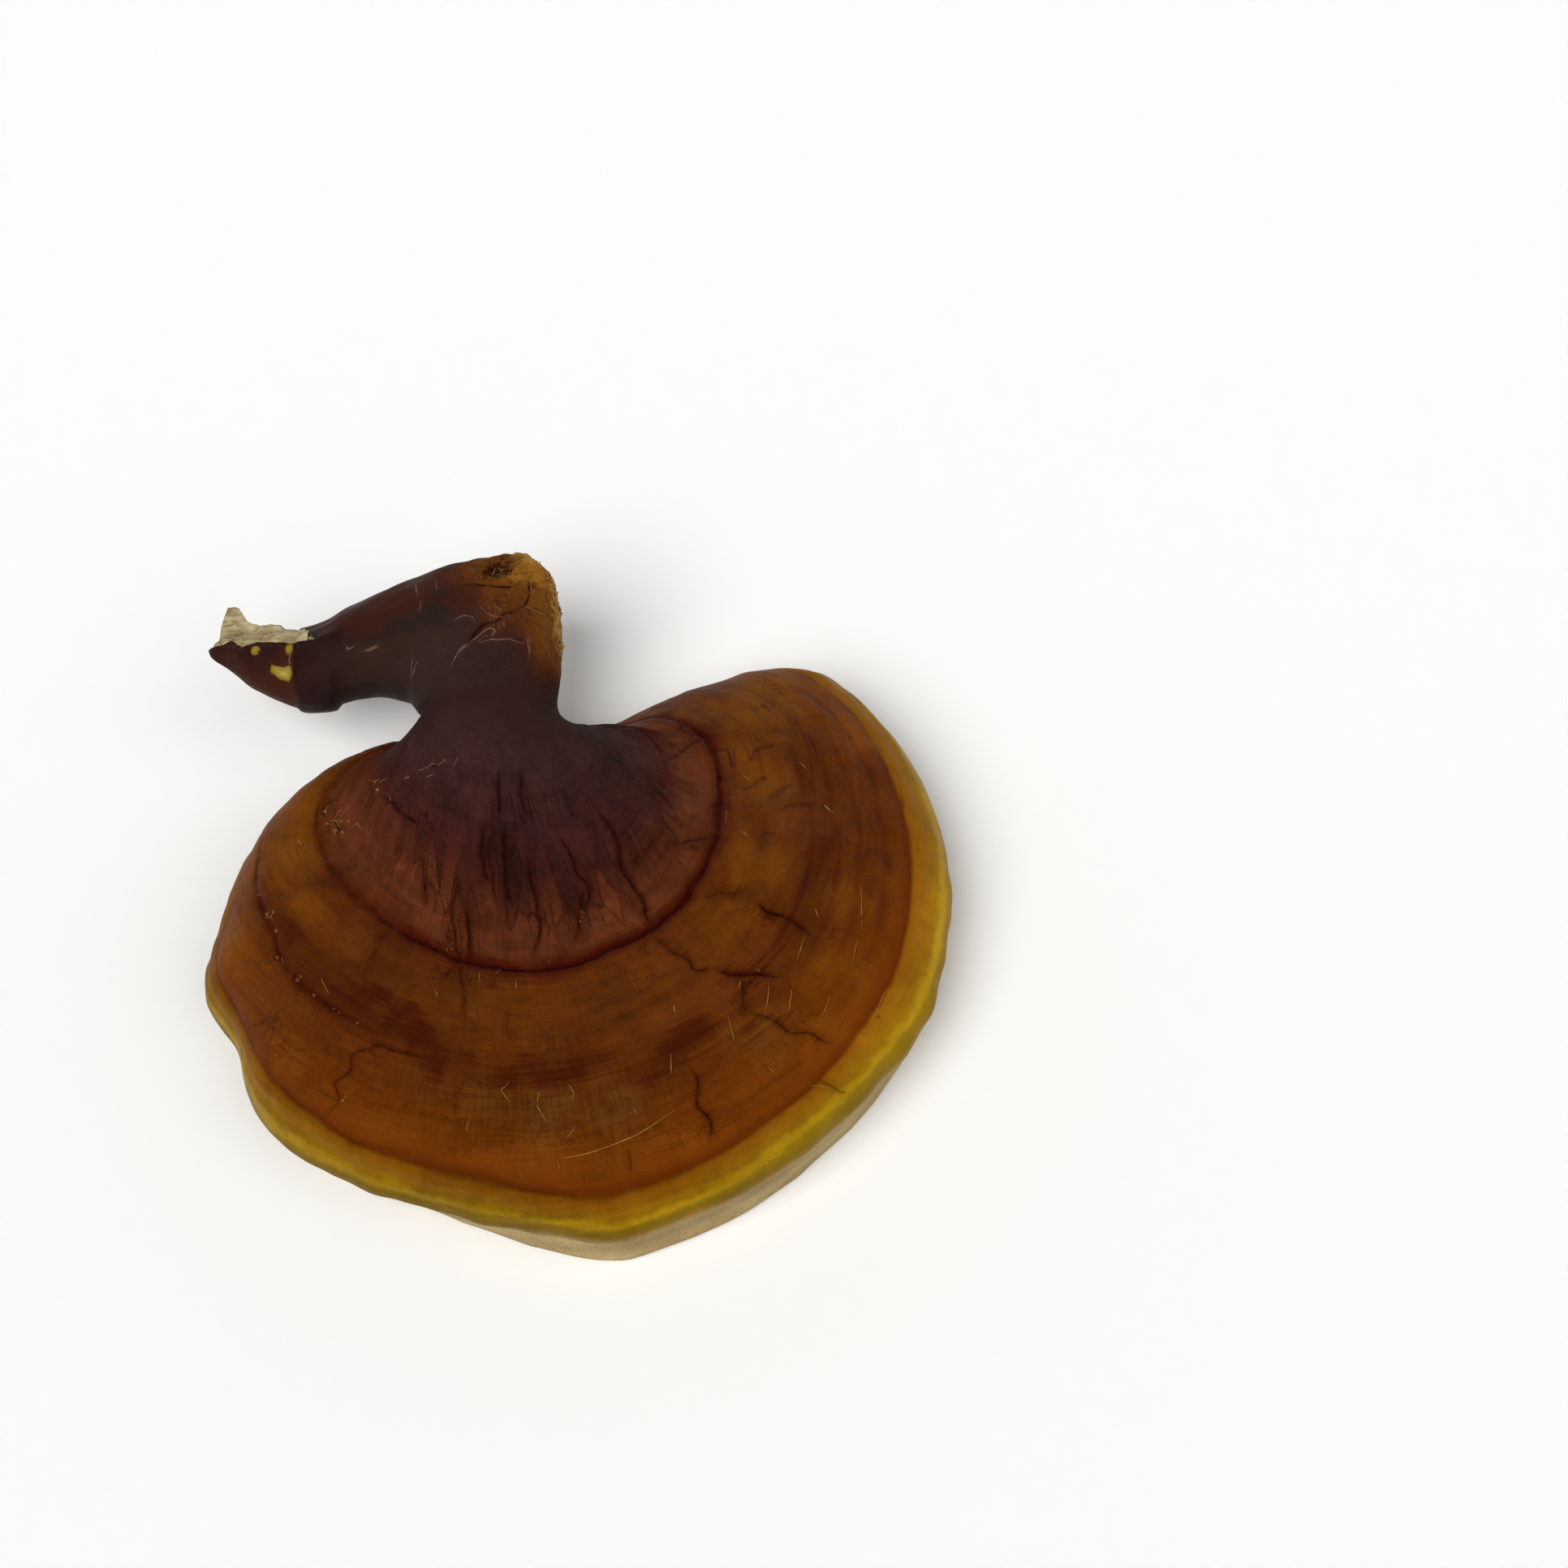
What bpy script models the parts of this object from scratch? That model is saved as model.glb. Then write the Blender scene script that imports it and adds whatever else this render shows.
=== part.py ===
"""Dried reishi mushroom: a lateral-stemmed cap lying on its pore surface.

Sizes are in millimetres until the mesh is built, then in metres. The growth frame has +X to the
right of the cap, +Y towards the stem and +Z up, with the pore surface on the floor.
"""

import math

import bmesh
import bpy
import numpy as np

MM = 0.001

# Resolution of the faceted surface
POINTS_AROUND = 60
STEPS_PER_GAP = 2
# Points closer than this are one point
WELD_DISTANCE = 0.001

# Growth rings are arcs about this point on the cap, in front of the stem
RING_CENTRE = (0.0, -9.0)

# Outline of the margin: direction from the ring centre in degrees, distance in mm
MARGIN_RADIUS = [
    (-180, 44.5), (-163, 52.0), (-148, 58.5), (-134, 64.5), (-124, 68.3), (-112, 70.5), (-100, 72.2),
    (-88, 75.5), (-75, 79.5), (-60, 81.5), (-42, 80.8), (-25, 79.0), (-10, 76.0), (4, 72.0), (16, 68.5),
    (26, 65.5), (34, 61.5), (40, 53.5), (46, 43.0), (53, 33.0), (64, 25.5), (90, 20.5), (118, 24.0),
    (134, 28.0), (150, 31.5), (166, 38.0),
]
# Lobes and dents of the margin: direction, mm outwards, half width in degrees
MARGIN_WAVES = [(-149, 2.4, 5.5), (-136, -1.8, 5.0), (-76, 1.8, 7.0), (-52, -0.6, 8.0), (-30, 0.8, 7.0)]
# The waves fade towards the middle of the cap by this power
WAVE_FADE = 5
# Height of the widest line of the margin
MARGIN_HEIGHT = [
    (-180, 6.5), (-130, 5.0), (-95, 7.0), (-75, 9.5), (-40, 11.5), (0, 11.0), (35, 10.0), (60, 6.0),
    (90, 4.5), (125, 5.5), (150, 6.5),
]

# The first growth ring, outside the dark foot of the stem
RING_RADIUS = [
    (-180, 33.5), (-158, 34.0), (-136, 33.0), (-115, 34.2), (-95, 36.0), (-80, 37.5), (-60, 38.0),
    (-40, 38.0), (-20, 36.5), (0, 35.0), (22, 34.0), (36, 30.5), (52, 26.0), (90, 22.0), (125, 24.0),
    (150, 28.0),
]
RING_HEIGHT = [
    (-180, 19.0), (-90, 22.5), (0, 22.0), (36, 18.0), (60, 10.5), (90, 6.5), (120, 9.0), (150, 15.5),
]
# The cap rounds over from the first ring to the margin; larger is flatter with a blunter edge
DOME_SQUARENESS = 2.6
DOME_STEPS = (0.2, 0.4, 0.57, 0.72, 0.83, 0.91, 0.965, 0.992)

# The pore layer steps in below the margin's lip: direction and mm, and then the curve of the wall
# as shares of that step and of the margin's height
PORE_STEP = [
    (-180, 4.0), (-130, 4.5), (-105, 3.6), (-88, 1.4), (-65, 1.2), (-40, 2.2), (-10, 4.0), (35, 4.0),
    (90, 3.0), (150, 4.0),
]
PORE_WALL = ((0.28, 0.80), (0.55, 0.50), (0.80, 0.22), (1.25, 0.04))
# The flat that the mushroom lies on: shares of the margin's radius
PORE_FLAT = (0.90, 0.62, 0.30)
PORE_CENTRE = (6.0, -30.0)

# Stem: it lies in one plane that leaves the back of the cap and climbs away from the floor
STEM_BASE = (0.0, 6.0, 16.0)
STEM_CLIMB = 20.0
# Sections from the torn tip to the neck: across, along the climb, half width, half thickness,
# direction of the width in degrees and offset out of the plane
STEM_SECTIONS = [
    (-57.0, 17.4, 1.5, 1.2, 92, -1.0),
    (-54.6, 17.0, 2.8, 2.3, 93, -1.0),
    (-50.2, 15.6, 5.0, 4.4, 93, -0.8),
    (-45.5, 14.7, 6.7, 5.8, 91, -0.6),
    (-40.4, 14.0, 7.5, 6.8, 90, -0.5),
    (-35.5, 15.0, 8.4, 7.6, 92, -0.3),
    (-31.0, 17.2, 8.8, 8.0, 95, -0.2),
    (-26.0, 18.6, 9.7, 8.6, 92, 0.0),
    (-21.8, 19.6, 11.4, 9.4, 86, 0.0),
    (-17.4, 20.6, 13.4, 10.2, 76, 0.0),
    (-13.2, 20.9, 15.6, 10.8, 65, 0.0),
    (-8.6, 19.7, 17.2, 11.2, 51, 0.0),
    (-6.6, 14.1, 14.9, 11.0, 34, 0.0),
    (-6.2, 9.0, 12.9, 10.6, 17, 0.0),
    (-6.2, 5.4, 12.0, 10.0, 4, 0.0),
]
# The torn point reaches this far past the first section
TIP_LENGTH = 0.8
# The neck spreads into the cap here: share of the way from the neck to the first ring
FOOT_SHARE = (0.22, 0.55)
FOOT_SAG = (1.5, 1.0)

BARK_COLOUR = (0.115, 0.035, 0.012, 1.0)
BARK_ROUGHNESS = 0.45


def clear_scene():
    for thing in list(bpy.data.objects):
        bpy.data.objects.remove(thing, do_unlink=True)


def through_stations(stations, degrees):
    """Smooth closed curve of values through (degrees, value) stations."""
    at = np.array([station[0] for station in stations], float)
    value = np.array([station[1] for station in stations], float)
    at = np.concatenate([at[-2:] - 360, at, at[:2] + 360])
    value = np.concatenate([value[-2:], value, value[:2]])
    slope = np.gradient(value, at)
    turned = (np.asarray(degrees, float) + 180) % 360 - 180
    turned = np.where(turned < at[1], turned + 360, turned)
    first = np.clip(np.searchsorted(at, turned, side="right") - 1, 0, len(at) - 2)
    gap = at[first + 1] - at[first]
    part = (turned - at[first]) / gap
    return hermite(value[first], value[first + 1], slope[first] * gap, slope[first + 1] * gap, part)


def hermite(start, end, start_slope, end_slope, part):
    cubed = part ** 3
    squared = part ** 2
    return (
        start * (2 * cubed - 3 * squared + 1)
        + start_slope * (cubed - 2 * squared + part)
        + end * (3 * squared - 2 * cubed)
        + end_slope * (cubed - squared)
    )


def margin_outline(degrees):
    radius = through_stations(MARGIN_RADIUS, degrees)
    waves = np.zeros(len(degrees))
    for direction, outwards, half_width in MARGIN_WAVES:
        away = (degrees - direction + 180) % 360 - 180
        waves += outwards * np.exp(-(away / half_width) ** 2)
    return radius, waves


def stem_loop(section, degrees):
    """One section of the stem; its outer side is at 0 degrees and its top at -90."""
    across, along, half_width, half_thickness, width_direction, lift = section
    climb = math.radians(STEM_CLIMB)
    side = np.array([1.0, 0.0, 0.0])
    up_plane = np.array([0.0, math.cos(climb), math.sin(climb)])
    out = np.array([0.0, -math.sin(climb), math.cos(climb)])
    turn = math.radians(width_direction)
    width = side * math.cos(turn) + up_plane * math.sin(turn)
    centre = np.array(STEM_BASE) + side * across + up_plane * along + out * lift
    angle = np.radians(degrees)[:, None]
    return centre + width * half_width * np.cos(angle) - out * half_thickness * np.sin(angle)


def cap_loop(radius, height, degrees):
    angle = np.radians(degrees)
    return np.stack([
        RING_CENTRE[0] + radius * np.cos(angle),
        RING_CENTRE[1] + radius * np.sin(angle),
        np.broadcast_to(height, angle.shape),
    ], axis=1)


def key_loops(degrees):
    """The loops that shape the mushroom, from the torn tip to the middle of the pore surface."""
    loops = [stem_loop(section, degrees) for section in STEM_SECTIONS]
    tip = loops[0].mean(axis=0) - np.array([TIP_LENGTH, 0.0, 0.0])
    loops.insert(0, np.tile(tip, (len(degrees), 1)))

    neck = loops[-1]
    ring_radius = through_stations(RING_RADIUS, degrees)
    ring_height = through_stations(RING_HEIGHT, degrees)
    ring = cap_loop(ring_radius, ring_height, degrees)
    for share, sag in zip(FOOT_SHARE, FOOT_SAG):
        foot = neck + (ring - neck) * share
        foot[:, 2] -= sag
        loops.append(foot)
    loops.append(ring)

    margin_radius, waves = margin_outline(degrees)
    margin_height = through_stations(MARGIN_HEIGHT, degrees)
    for step in DOME_STEPS + (1.0,):
        radius = ring_radius + (margin_radius - ring_radius) * step + waves * step ** WAVE_FADE
        share = math.sqrt(1 - step ** DOME_SQUARENESS)
        loops.append(cap_loop(radius, margin_height + (ring_height - margin_height) * share, degrees))

    margin = loops[-1]
    middle = np.array([PORE_CENTRE[0], PORE_CENTRE[1], 0.0])
    inwards = (middle - margin) * [1, 1, 0]
    inwards /= np.linalg.norm(inwards, axis=1)[:, None]
    step_in = through_stations(PORE_STEP, degrees)[:, None]
    for share, height in PORE_WALL:
        wall = margin + inwards * step_in * share
        wall[:, 2] = margin_height * height
        loops.append(wall)
    for reach in PORE_FLAT:
        flat = middle + (margin - middle) * reach
        flat[:, 2] = 0.0
        loops.append(flat)
    loops.append(np.tile(middle, (len(degrees), 1)))
    return np.array(loops)


def between_loops(loops, steps):
    """Loops at even steps between the key loops, on smooth lines through their points."""
    gaps = np.linalg.norm(np.diff(loops, axis=0), axis=2).mean(axis=1)
    at = np.concatenate([[0.0], np.cumsum(gaps)])
    slope = np.gradient(loops, at, axis=0)
    fine = []
    for first in range(len(loops) - 1):
        gap = at[first + 1] - at[first]
        for step in range(steps):
            fine.append(hermite(
                loops[first], loops[first + 1], slope[first] * gap, slope[first + 1] * gap, step / steps,
            ))
    fine.append(loops[-1])
    return np.array(fine)


def skin(name, loops, shift):
    """Wraps a grid round the loops: a row for each loop, its two sides welded, its ends drawn to poles."""
    wrapped = np.concatenate([loops, loops[:, :1]], axis=1)
    rows, columns = wrapped.shape[:2]
    shell = bmesh.new()
    bmesh.ops.create_grid(shell, x_segments=columns - 1, y_segments=rows - 1, size=1.0)
    for vertex, point in zip(shell.verts, wrapped.reshape(-1, 3)):
        vertex.co = (point + shift) * MM
    bmesh.ops.remove_doubles(shell, verts=shell.verts, dist=WELD_DISTANCE * MM)
    bmesh.ops.recalc_face_normals(shell, faces=shell.faces)
    mesh = bpy.data.meshes.new(name)
    shell.to_mesh(mesh)
    shell.free()
    mesh.shade_smooth()
    body = bpy.data.objects.new(name, mesh)
    bpy.context.collection.objects.link(body)
    return body


def bark_material():
    material = bpy.data.materials.new("dried lacquered crust")
    material.use_nodes = True
    surface = material.node_tree.nodes["Principled BSDF"]
    surface.inputs["Base Color"].default_value = BARK_COLOUR
    surface.inputs["Roughness"].default_value = BARK_ROUGHNESS
    surface.inputs["Metallic"].default_value = 0.0
    return material


def build_reishi():
    degrees = -np.arange(POINTS_AROUND) * 360.0 / POINTS_AROUND
    loops = between_loops(key_loops(degrees), STEPS_PER_GAP)
    loops[:, :, 2] = np.maximum(loops[:, :, 2], 0.0)
    low = loops.min(axis=(0, 1))
    high = loops.max(axis=(0, 1))
    shift = np.array([-(low[0] + high[0]) / 2, -(low[1] + high[1]) / 2, 0.0])
    body = skin("reishi", loops, shift)
    body.data.materials.append(bark_material())
    return body


clear_scene()
build_reishi()
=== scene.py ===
import math

import bpy
import numpy as np
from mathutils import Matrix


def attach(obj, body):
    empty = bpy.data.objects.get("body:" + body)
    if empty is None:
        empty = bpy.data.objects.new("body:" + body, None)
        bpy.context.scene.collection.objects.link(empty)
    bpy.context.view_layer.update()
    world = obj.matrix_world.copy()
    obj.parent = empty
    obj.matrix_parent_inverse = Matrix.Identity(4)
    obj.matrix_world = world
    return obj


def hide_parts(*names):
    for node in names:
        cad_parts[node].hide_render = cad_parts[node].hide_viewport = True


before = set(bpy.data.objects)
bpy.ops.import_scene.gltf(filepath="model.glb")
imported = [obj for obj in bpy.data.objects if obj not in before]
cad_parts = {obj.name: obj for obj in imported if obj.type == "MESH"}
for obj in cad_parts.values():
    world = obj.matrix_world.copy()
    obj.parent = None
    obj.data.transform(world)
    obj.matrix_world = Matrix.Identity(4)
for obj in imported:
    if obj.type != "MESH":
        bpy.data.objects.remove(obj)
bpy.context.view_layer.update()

# Shapes are worked out in millimetres in the growth frame: +X to the right of the cap, +Y towards the
# stem, +Z up, and the pore surface on the floor. The finished meshes are in metres in the CAD's frame.
mm = 0.001

view = {
    "elevation": 53.0,          # degrees above the floor
    "distance": 420.0,
    "target": (46.2, -4.1, 16.9),  # growth frame; the photograph's middle, right of the cap
    "lens": 55.25,
    "filmWidth": 36.0,
}

cap = {
    "ringCentre": (0.0, -9.0),  # growth rings are arcs about this point, in front of the stem
    "marginRadius": [           # direction in degrees, distance
        (-180, 44.5), (-163, 52.0), (-148, 58.5), (-134, 64.5), (-124, 68.3), (-112, 70.5), (-100, 72.2),
        (-88, 75.5), (-75, 79.5), (-60, 81.5), (-42, 80.8), (-25, 79.0), (-10, 76.0), (4, 72.0), (16, 68.5),
        (26, 65.5), (34, 61.5), (40, 53.5), (46, 43.0), (53, 33.0), (64, 25.5), (90, 20.5), (118, 24.0),
        (134, 28.0), (150, 31.5), (166, 38.0),
    ],
    "marginWaves": [            # direction, outwards, half width in degrees
        (-149, 2.4, 5.5), (-136, -1.8, 5.0), (-76, 1.8, 7.0), (-52, -0.6, 8.0), (-30, 0.8, 7.0),
    ],
    "waveFade": 5,              # the waves die out towards the first ring with this power
    "marginHeight": [
        (-180, 6.5), (-130, 5.0), (-95, 7.0), (-75, 9.5), (-40, 11.5), (0, 11.0), (35, 10.0), (60, 6.0),
        (90, 4.5), (125, 5.5), (150, 6.5),
    ],
    "ringRadius": [
        (-180, 33.5), (-158, 34.0), (-136, 33.0), (-115, 34.2), (-95, 36.0), (-80, 37.5), (-60, 38.0),
        (-40, 38.0), (-20, 36.5), (0, 35.0), (22, 34.0), (36, 30.5), (52, 26.0), (90, 22.0), (125, 24.0),
        (150, 28.0),
    ],
    "ringHeight": [
        (-180, 19.0), (-90, 22.5), (0, 22.0), (36, 18.0), (60, 10.5), (90, 6.5), (120, 9.0), (150, 15.5),
    ],
    "domeSquareness": 2.6,      # 2 is an ellipse, more is fuller at the margin
    "domeSteps": (0.2, 0.4, 0.57, 0.72, 0.83, 0.91, 0.965, 0.992),
    "poreStep": [               # how far the foot of the pore wall stands in from the margin
        (-180, 4.0), (-130, 4.5), (-105, 3.6), (-88, 1.4), (-65, 1.2), (-40, 2.2), (-10, 4.0), (35, 4.0),
        (90, 3.0), (150, 4.0),
    ],
    "poreWall": ((0.28, 0.8), (0.55, 0.5), (0.8, 0.22), (1.25, 0.04)),  # shares of the step and height
    "poreFlat": (0.9, 0.62, 0.3),  # loops on the floor, as shares of the way to the margin
    "poreCentre": (6.0, -30.0),
    "footShare": (0.22, 0.55),  # loops between the neck and the first ring, and how much they sag
    "footSag": (1.5, 1.0),
}

stem = {
    "base": (0.0, 6.0, 16.0),
    "climb": 20.0,              # degrees that the plane of the bend rises to the back
    "tipLength": 0.8,
    "sections": [               # across, along, half width, half thickness, turn, lift
        (-57.0, 17.4, 1.5, 1.2, 92, -1.0),
        (-54.6, 17.0, 2.8, 2.3, 93, -1.0),
        (-50.2, 15.6, 5.0, 4.4, 93, -0.8),
        (-45.5, 14.7, 6.7, 5.8, 91, -0.6),
        (-40.4, 14.0, 7.5, 6.8, 90, -0.5),
        (-35.5, 15.0, 8.4, 7.6, 92, -0.3),
        (-31.0, 17.2, 8.8, 8.0, 95, -0.2),
        (-26.0, 18.6, 9.7, 8.6, 92, 0.0),
        (-21.8, 19.6, 11.4, 9.4, 86, 0.0),
        (-17.4, 20.6, 13.4, 10.2, 76, 0.0),
        (-13.2, 20.9, 15.6, 10.8, 65, 0.0),
        (-8.6, 19.7, 17.2, 11.2, 51, 0.0),
        (-6.6, 14.1, 14.9, 11.0, 34, 0.0),
        (-6.2, 9.0, 12.9, 10.6, 17, 0.0),
        (-6.2, 5.4, 12.0, 10.0, 4, 0.0),
    ],
}

# Growth runs from -1 at the torn tip to 0 at the neck, 1 at the first ring, 2 at the widest line of
# the margin, 3 at the foot of the pore wall and 4 at the middle of the pore surface
fineMesh = {
    "columns": 504,
    "spacing": [                # growth, distance between rows
        (-1.0, 0.55), (-0.1, 0.62), (0.3, 0.8), (0.9, 0.72), (0.975, 0.3), (1.025, 0.3), (1.07, 0.84),
        (1.8, 0.84), (1.87, 0.5), (2.05, 0.44), (2.3, 0.9), (3.0, 1.3), (3.3, 2.6), (4.0, 3.0),
    ],
    "columnShare": [(-2.0, 4), (-0.03, 2), (0.42, 1), (3.02, 2), (3.5, 4)],  # from this growth on, every nth
    "poreFrom": 3.05,           # growth where the pore layer's material begins
}


def hexColour(text):
    # sRGB hex to linear
    parts = [int(text[first:first + 2], 16) / 255 for first in (0, 2, 4)]
    parts = [part / 12.92 if part <= 0.04045 else ((part + 0.055) / 1.055) ** 2.4 for part in parts]
    return (*parts, 1.0)


def hermite(start, end, startSlope, endSlope, part):
    cubed = part ** 3
    squared = part ** 2
    return (
        start * (2 * cubed - 3 * squared + 1)
        + startSlope * (cubed - 2 * squared + part)
        + end * (3 * squared - 2 * cubed)
        + endSlope * (cubed - squared)
    )


def throughStations(stations, degrees):
    # smooth closed curve of values through (degrees, value)
    at = np.array([station[0] for station in stations], float)
    value = np.array([station[1] for station in stations], float)
    at = np.concatenate([at[-2:] - 360, at, at[:2] + 360])
    value = np.concatenate([value[-2:], value, value[:2]])
    slope = np.gradient(value, at)
    turned = (np.asarray(degrees, float) + 180) % 360 - 180
    turned = np.where(turned < at[1], turned + 360, turned)
    first = np.clip(np.searchsorted(at, turned, side="right") - 1, 0, len(at) - 2)
    gap = at[first + 1] - at[first]
    part = (turned - at[first]) / gap
    return hermite(value[first], value[first + 1], slope[first] * gap, slope[first + 1] * gap, part)


def around(stations, degrees):
    # straight lines through (degrees, value), closed
    return np.interp(degrees, [item[0] for item in stations], [item[1] for item in stations], period=360)


def along(stations, place):
    return np.interp(place, [item[0] for item in stations], [item[1] for item in stations])


def alongPoints(places, at, points):
    # straight lines through points that lie at these places
    return np.stack([np.interp(places, at, axis) for axis in np.asarray(points).T], axis=1)


def smoothStep(low, high, value):
    part = np.clip((value - low) / (high - low), 0, 1)
    return part * part * (3 - 2 * part)


noiseLattice = np.random.default_rng(7).uniform(-1.0, 1.0, (48, 48, 48))


def softNoise(points, grain, seed):
    # smooth noise from -1 to 1, with lumps about one grain wide
    place = points / grain + seed * 5.37
    low = np.floor(place).astype(int)
    part = place - low
    part = part * part * (3 - 2 * part)
    total = np.zeros(points.shape[:-1])
    for corner in np.ndindex(2, 2, 2):
        near = (low + corner) % len(noiseLattice)
        share = np.prod(np.where(np.array(corner, bool), part, 1 - part), axis=-1)
        total += noiseLattice[near[..., 0], near[..., 1], near[..., 2]] * share
    return total


def linkPiece(name, mesh):
    piece = bpy.data.objects.new(name, mesh)
    bpy.context.scene.collection.objects.link(piece)
    return piece


def printTriangles(piece):
    print(piece.name + ":", sum(len(face.vertices) - 2 for face in piece.data.polygons), "triangles")


def gridFaces(grid, turned=False):
    # quads between rows of vertex numbers
    faces = []
    for low, high in zip(grid[:-1], grid[1:]):
        for step in range(len(low) - 1):
            corners = [int(each) for each in (low[step], low[step + 1], high[step + 1], high[step])]
            faces.append(corners[:1] + corners[:0:-1] if turned else corners)
    return faces


def stemFrame():
    climb = math.radians(stem["climb"])
    side = np.array([1.0, 0.0, 0.0])
    upPlane = np.array([0.0, math.cos(climb), math.sin(climb)])
    out = np.array([0.0, -math.sin(climb), math.cos(climb)])
    return side, upPlane, out


def stemLoop(section, degrees):
    # the outer side of the bend is at 0 degrees and the top at -90
    across, up, halfWidth, halfThickness, turn, lift = section
    side, upPlane, out = stemFrame()
    turn = math.radians(turn)
    width = side * math.cos(turn) + upPlane * math.sin(turn)
    centre = np.array(stem["base"]) + side * across + upPlane * up + out * lift
    angle = np.radians(degrees)[:, None]
    return centre + width * halfWidth * np.cos(angle) - out * halfThickness * np.sin(angle)


def capLoop(radius, height, degrees):
    angle = np.radians(degrees)
    return np.stack([
        cap["ringCentre"][0] + radius * np.cos(angle),
        cap["ringCentre"][1] + radius * np.sin(angle),
        np.broadcast_to(height, angle.shape),
    ], axis=1)


def keyLoops(degrees):
    # the loops that shape the mushroom, with their growth, from the torn tip to the pore surface
    loops = [stemLoop(section, degrees) for section in stem["sections"]]
    tip = loops[0].mean(axis=0) - np.array([stem["tipLength"], 0.0, 0.0])
    loops.insert(0, np.tile(tip, (len(degrees), 1)))
    growth = list(np.linspace(-1, 0, len(loops)))

    neck = loops[-1]
    ringRadius = throughStations(cap["ringRadius"], degrees)
    ringHeight = throughStations(cap["ringHeight"], degrees)
    ring = capLoop(ringRadius, ringHeight, degrees)
    for share, sag in zip(cap["footShare"], cap["footSag"]):
        foot = neck + (ring - neck) * share
        foot[:, 2] -= sag
        loops.append(foot)
    loops.append(ring)
    growth += [1 / 3, 2 / 3, 1]

    marginRadius = throughStations(cap["marginRadius"], degrees)
    marginHeight = throughStations(cap["marginHeight"], degrees)
    waves = np.zeros(len(degrees))
    for direction, outwards, halfWidth in cap["marginWaves"]:
        away = (degrees - direction + 180) % 360 - 180
        waves += outwards * np.exp(-(away / halfWidth) ** 2)
    for step in cap["domeSteps"] + (1.0,):
        radius = ringRadius + (marginRadius - ringRadius) * step + waves * step ** cap["waveFade"]
        share = math.sqrt(1 - step ** cap["domeSquareness"])
        loops.append(capLoop(radius, marginHeight + (ringHeight - marginHeight) * share, degrees))
        growth.append(1 + step)

    margin = loops[-1]
    middle = np.array([*cap["poreCentre"], 0.0])
    inwards = (middle - margin) * [1, 1, 0]
    inwards /= np.linalg.norm(inwards, axis=1)[:, None]
    stepIn = throughStations(cap["poreStep"], degrees)[:, None]
    for share, height in cap["poreWall"]:
        wall = margin + inwards * stepIn * share
        wall[:, 2] = marginHeight * height
        loops.append(wall)
    for reach in cap["poreFlat"]:
        flat = middle + (margin - middle) * reach
        flat[:, 2] = 0.0
        loops.append(flat)
    loops.append(np.tile(middle, (len(degrees), 1)))
    growth += list(np.linspace(2.25, 3, len(cap["poreWall"])))
    growth += list(np.linspace(3, 4, len(cap["poreFlat"]) + 2)[1:])
    return np.array(loops), np.array(growth)


def loopsAt(loops, places):
    # loops at places between the key loops, on smooth lines through their points
    gaps = np.linalg.norm(np.diff(loops, axis=0), axis=2).mean(axis=1)
    at = np.concatenate([[0.0], np.cumsum(gaps)])
    slope = np.gradient(loops, at, axis=0)
    first = np.minimum(places.astype(int), len(loops) - 2)
    part = (places - first)[:, None, None]
    gap = gaps[first][:, None, None]
    rows = hermite(loops[first], loops[first + 1], slope[first] * gap, slope[first + 1] * gap, part)
    rows[:, :, 2] = np.maximum(rows[:, :, 2], 0.0)
    return rows


def growthToCad():
    # the CAD's origin is under the middle of its box; its mesh has 60 columns and two rows for each gap
    loops, _ = keyLoops(-np.arange(60) * 6.0)
    rows = loopsAt(loops, np.arange(0, len(loops) - 0.5, 0.5))
    low = rows.min(axis=(0, 1))
    high = rows.max(axis=(0, 1))
    return np.array([-(low[0] + high[0]) / 2, -(low[1] + high[1]) / 2, 0.0])


cadShift = growthToCad()
print("frame loaded; growth frame is shifted by", np.round(cadShift, 2))


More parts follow.
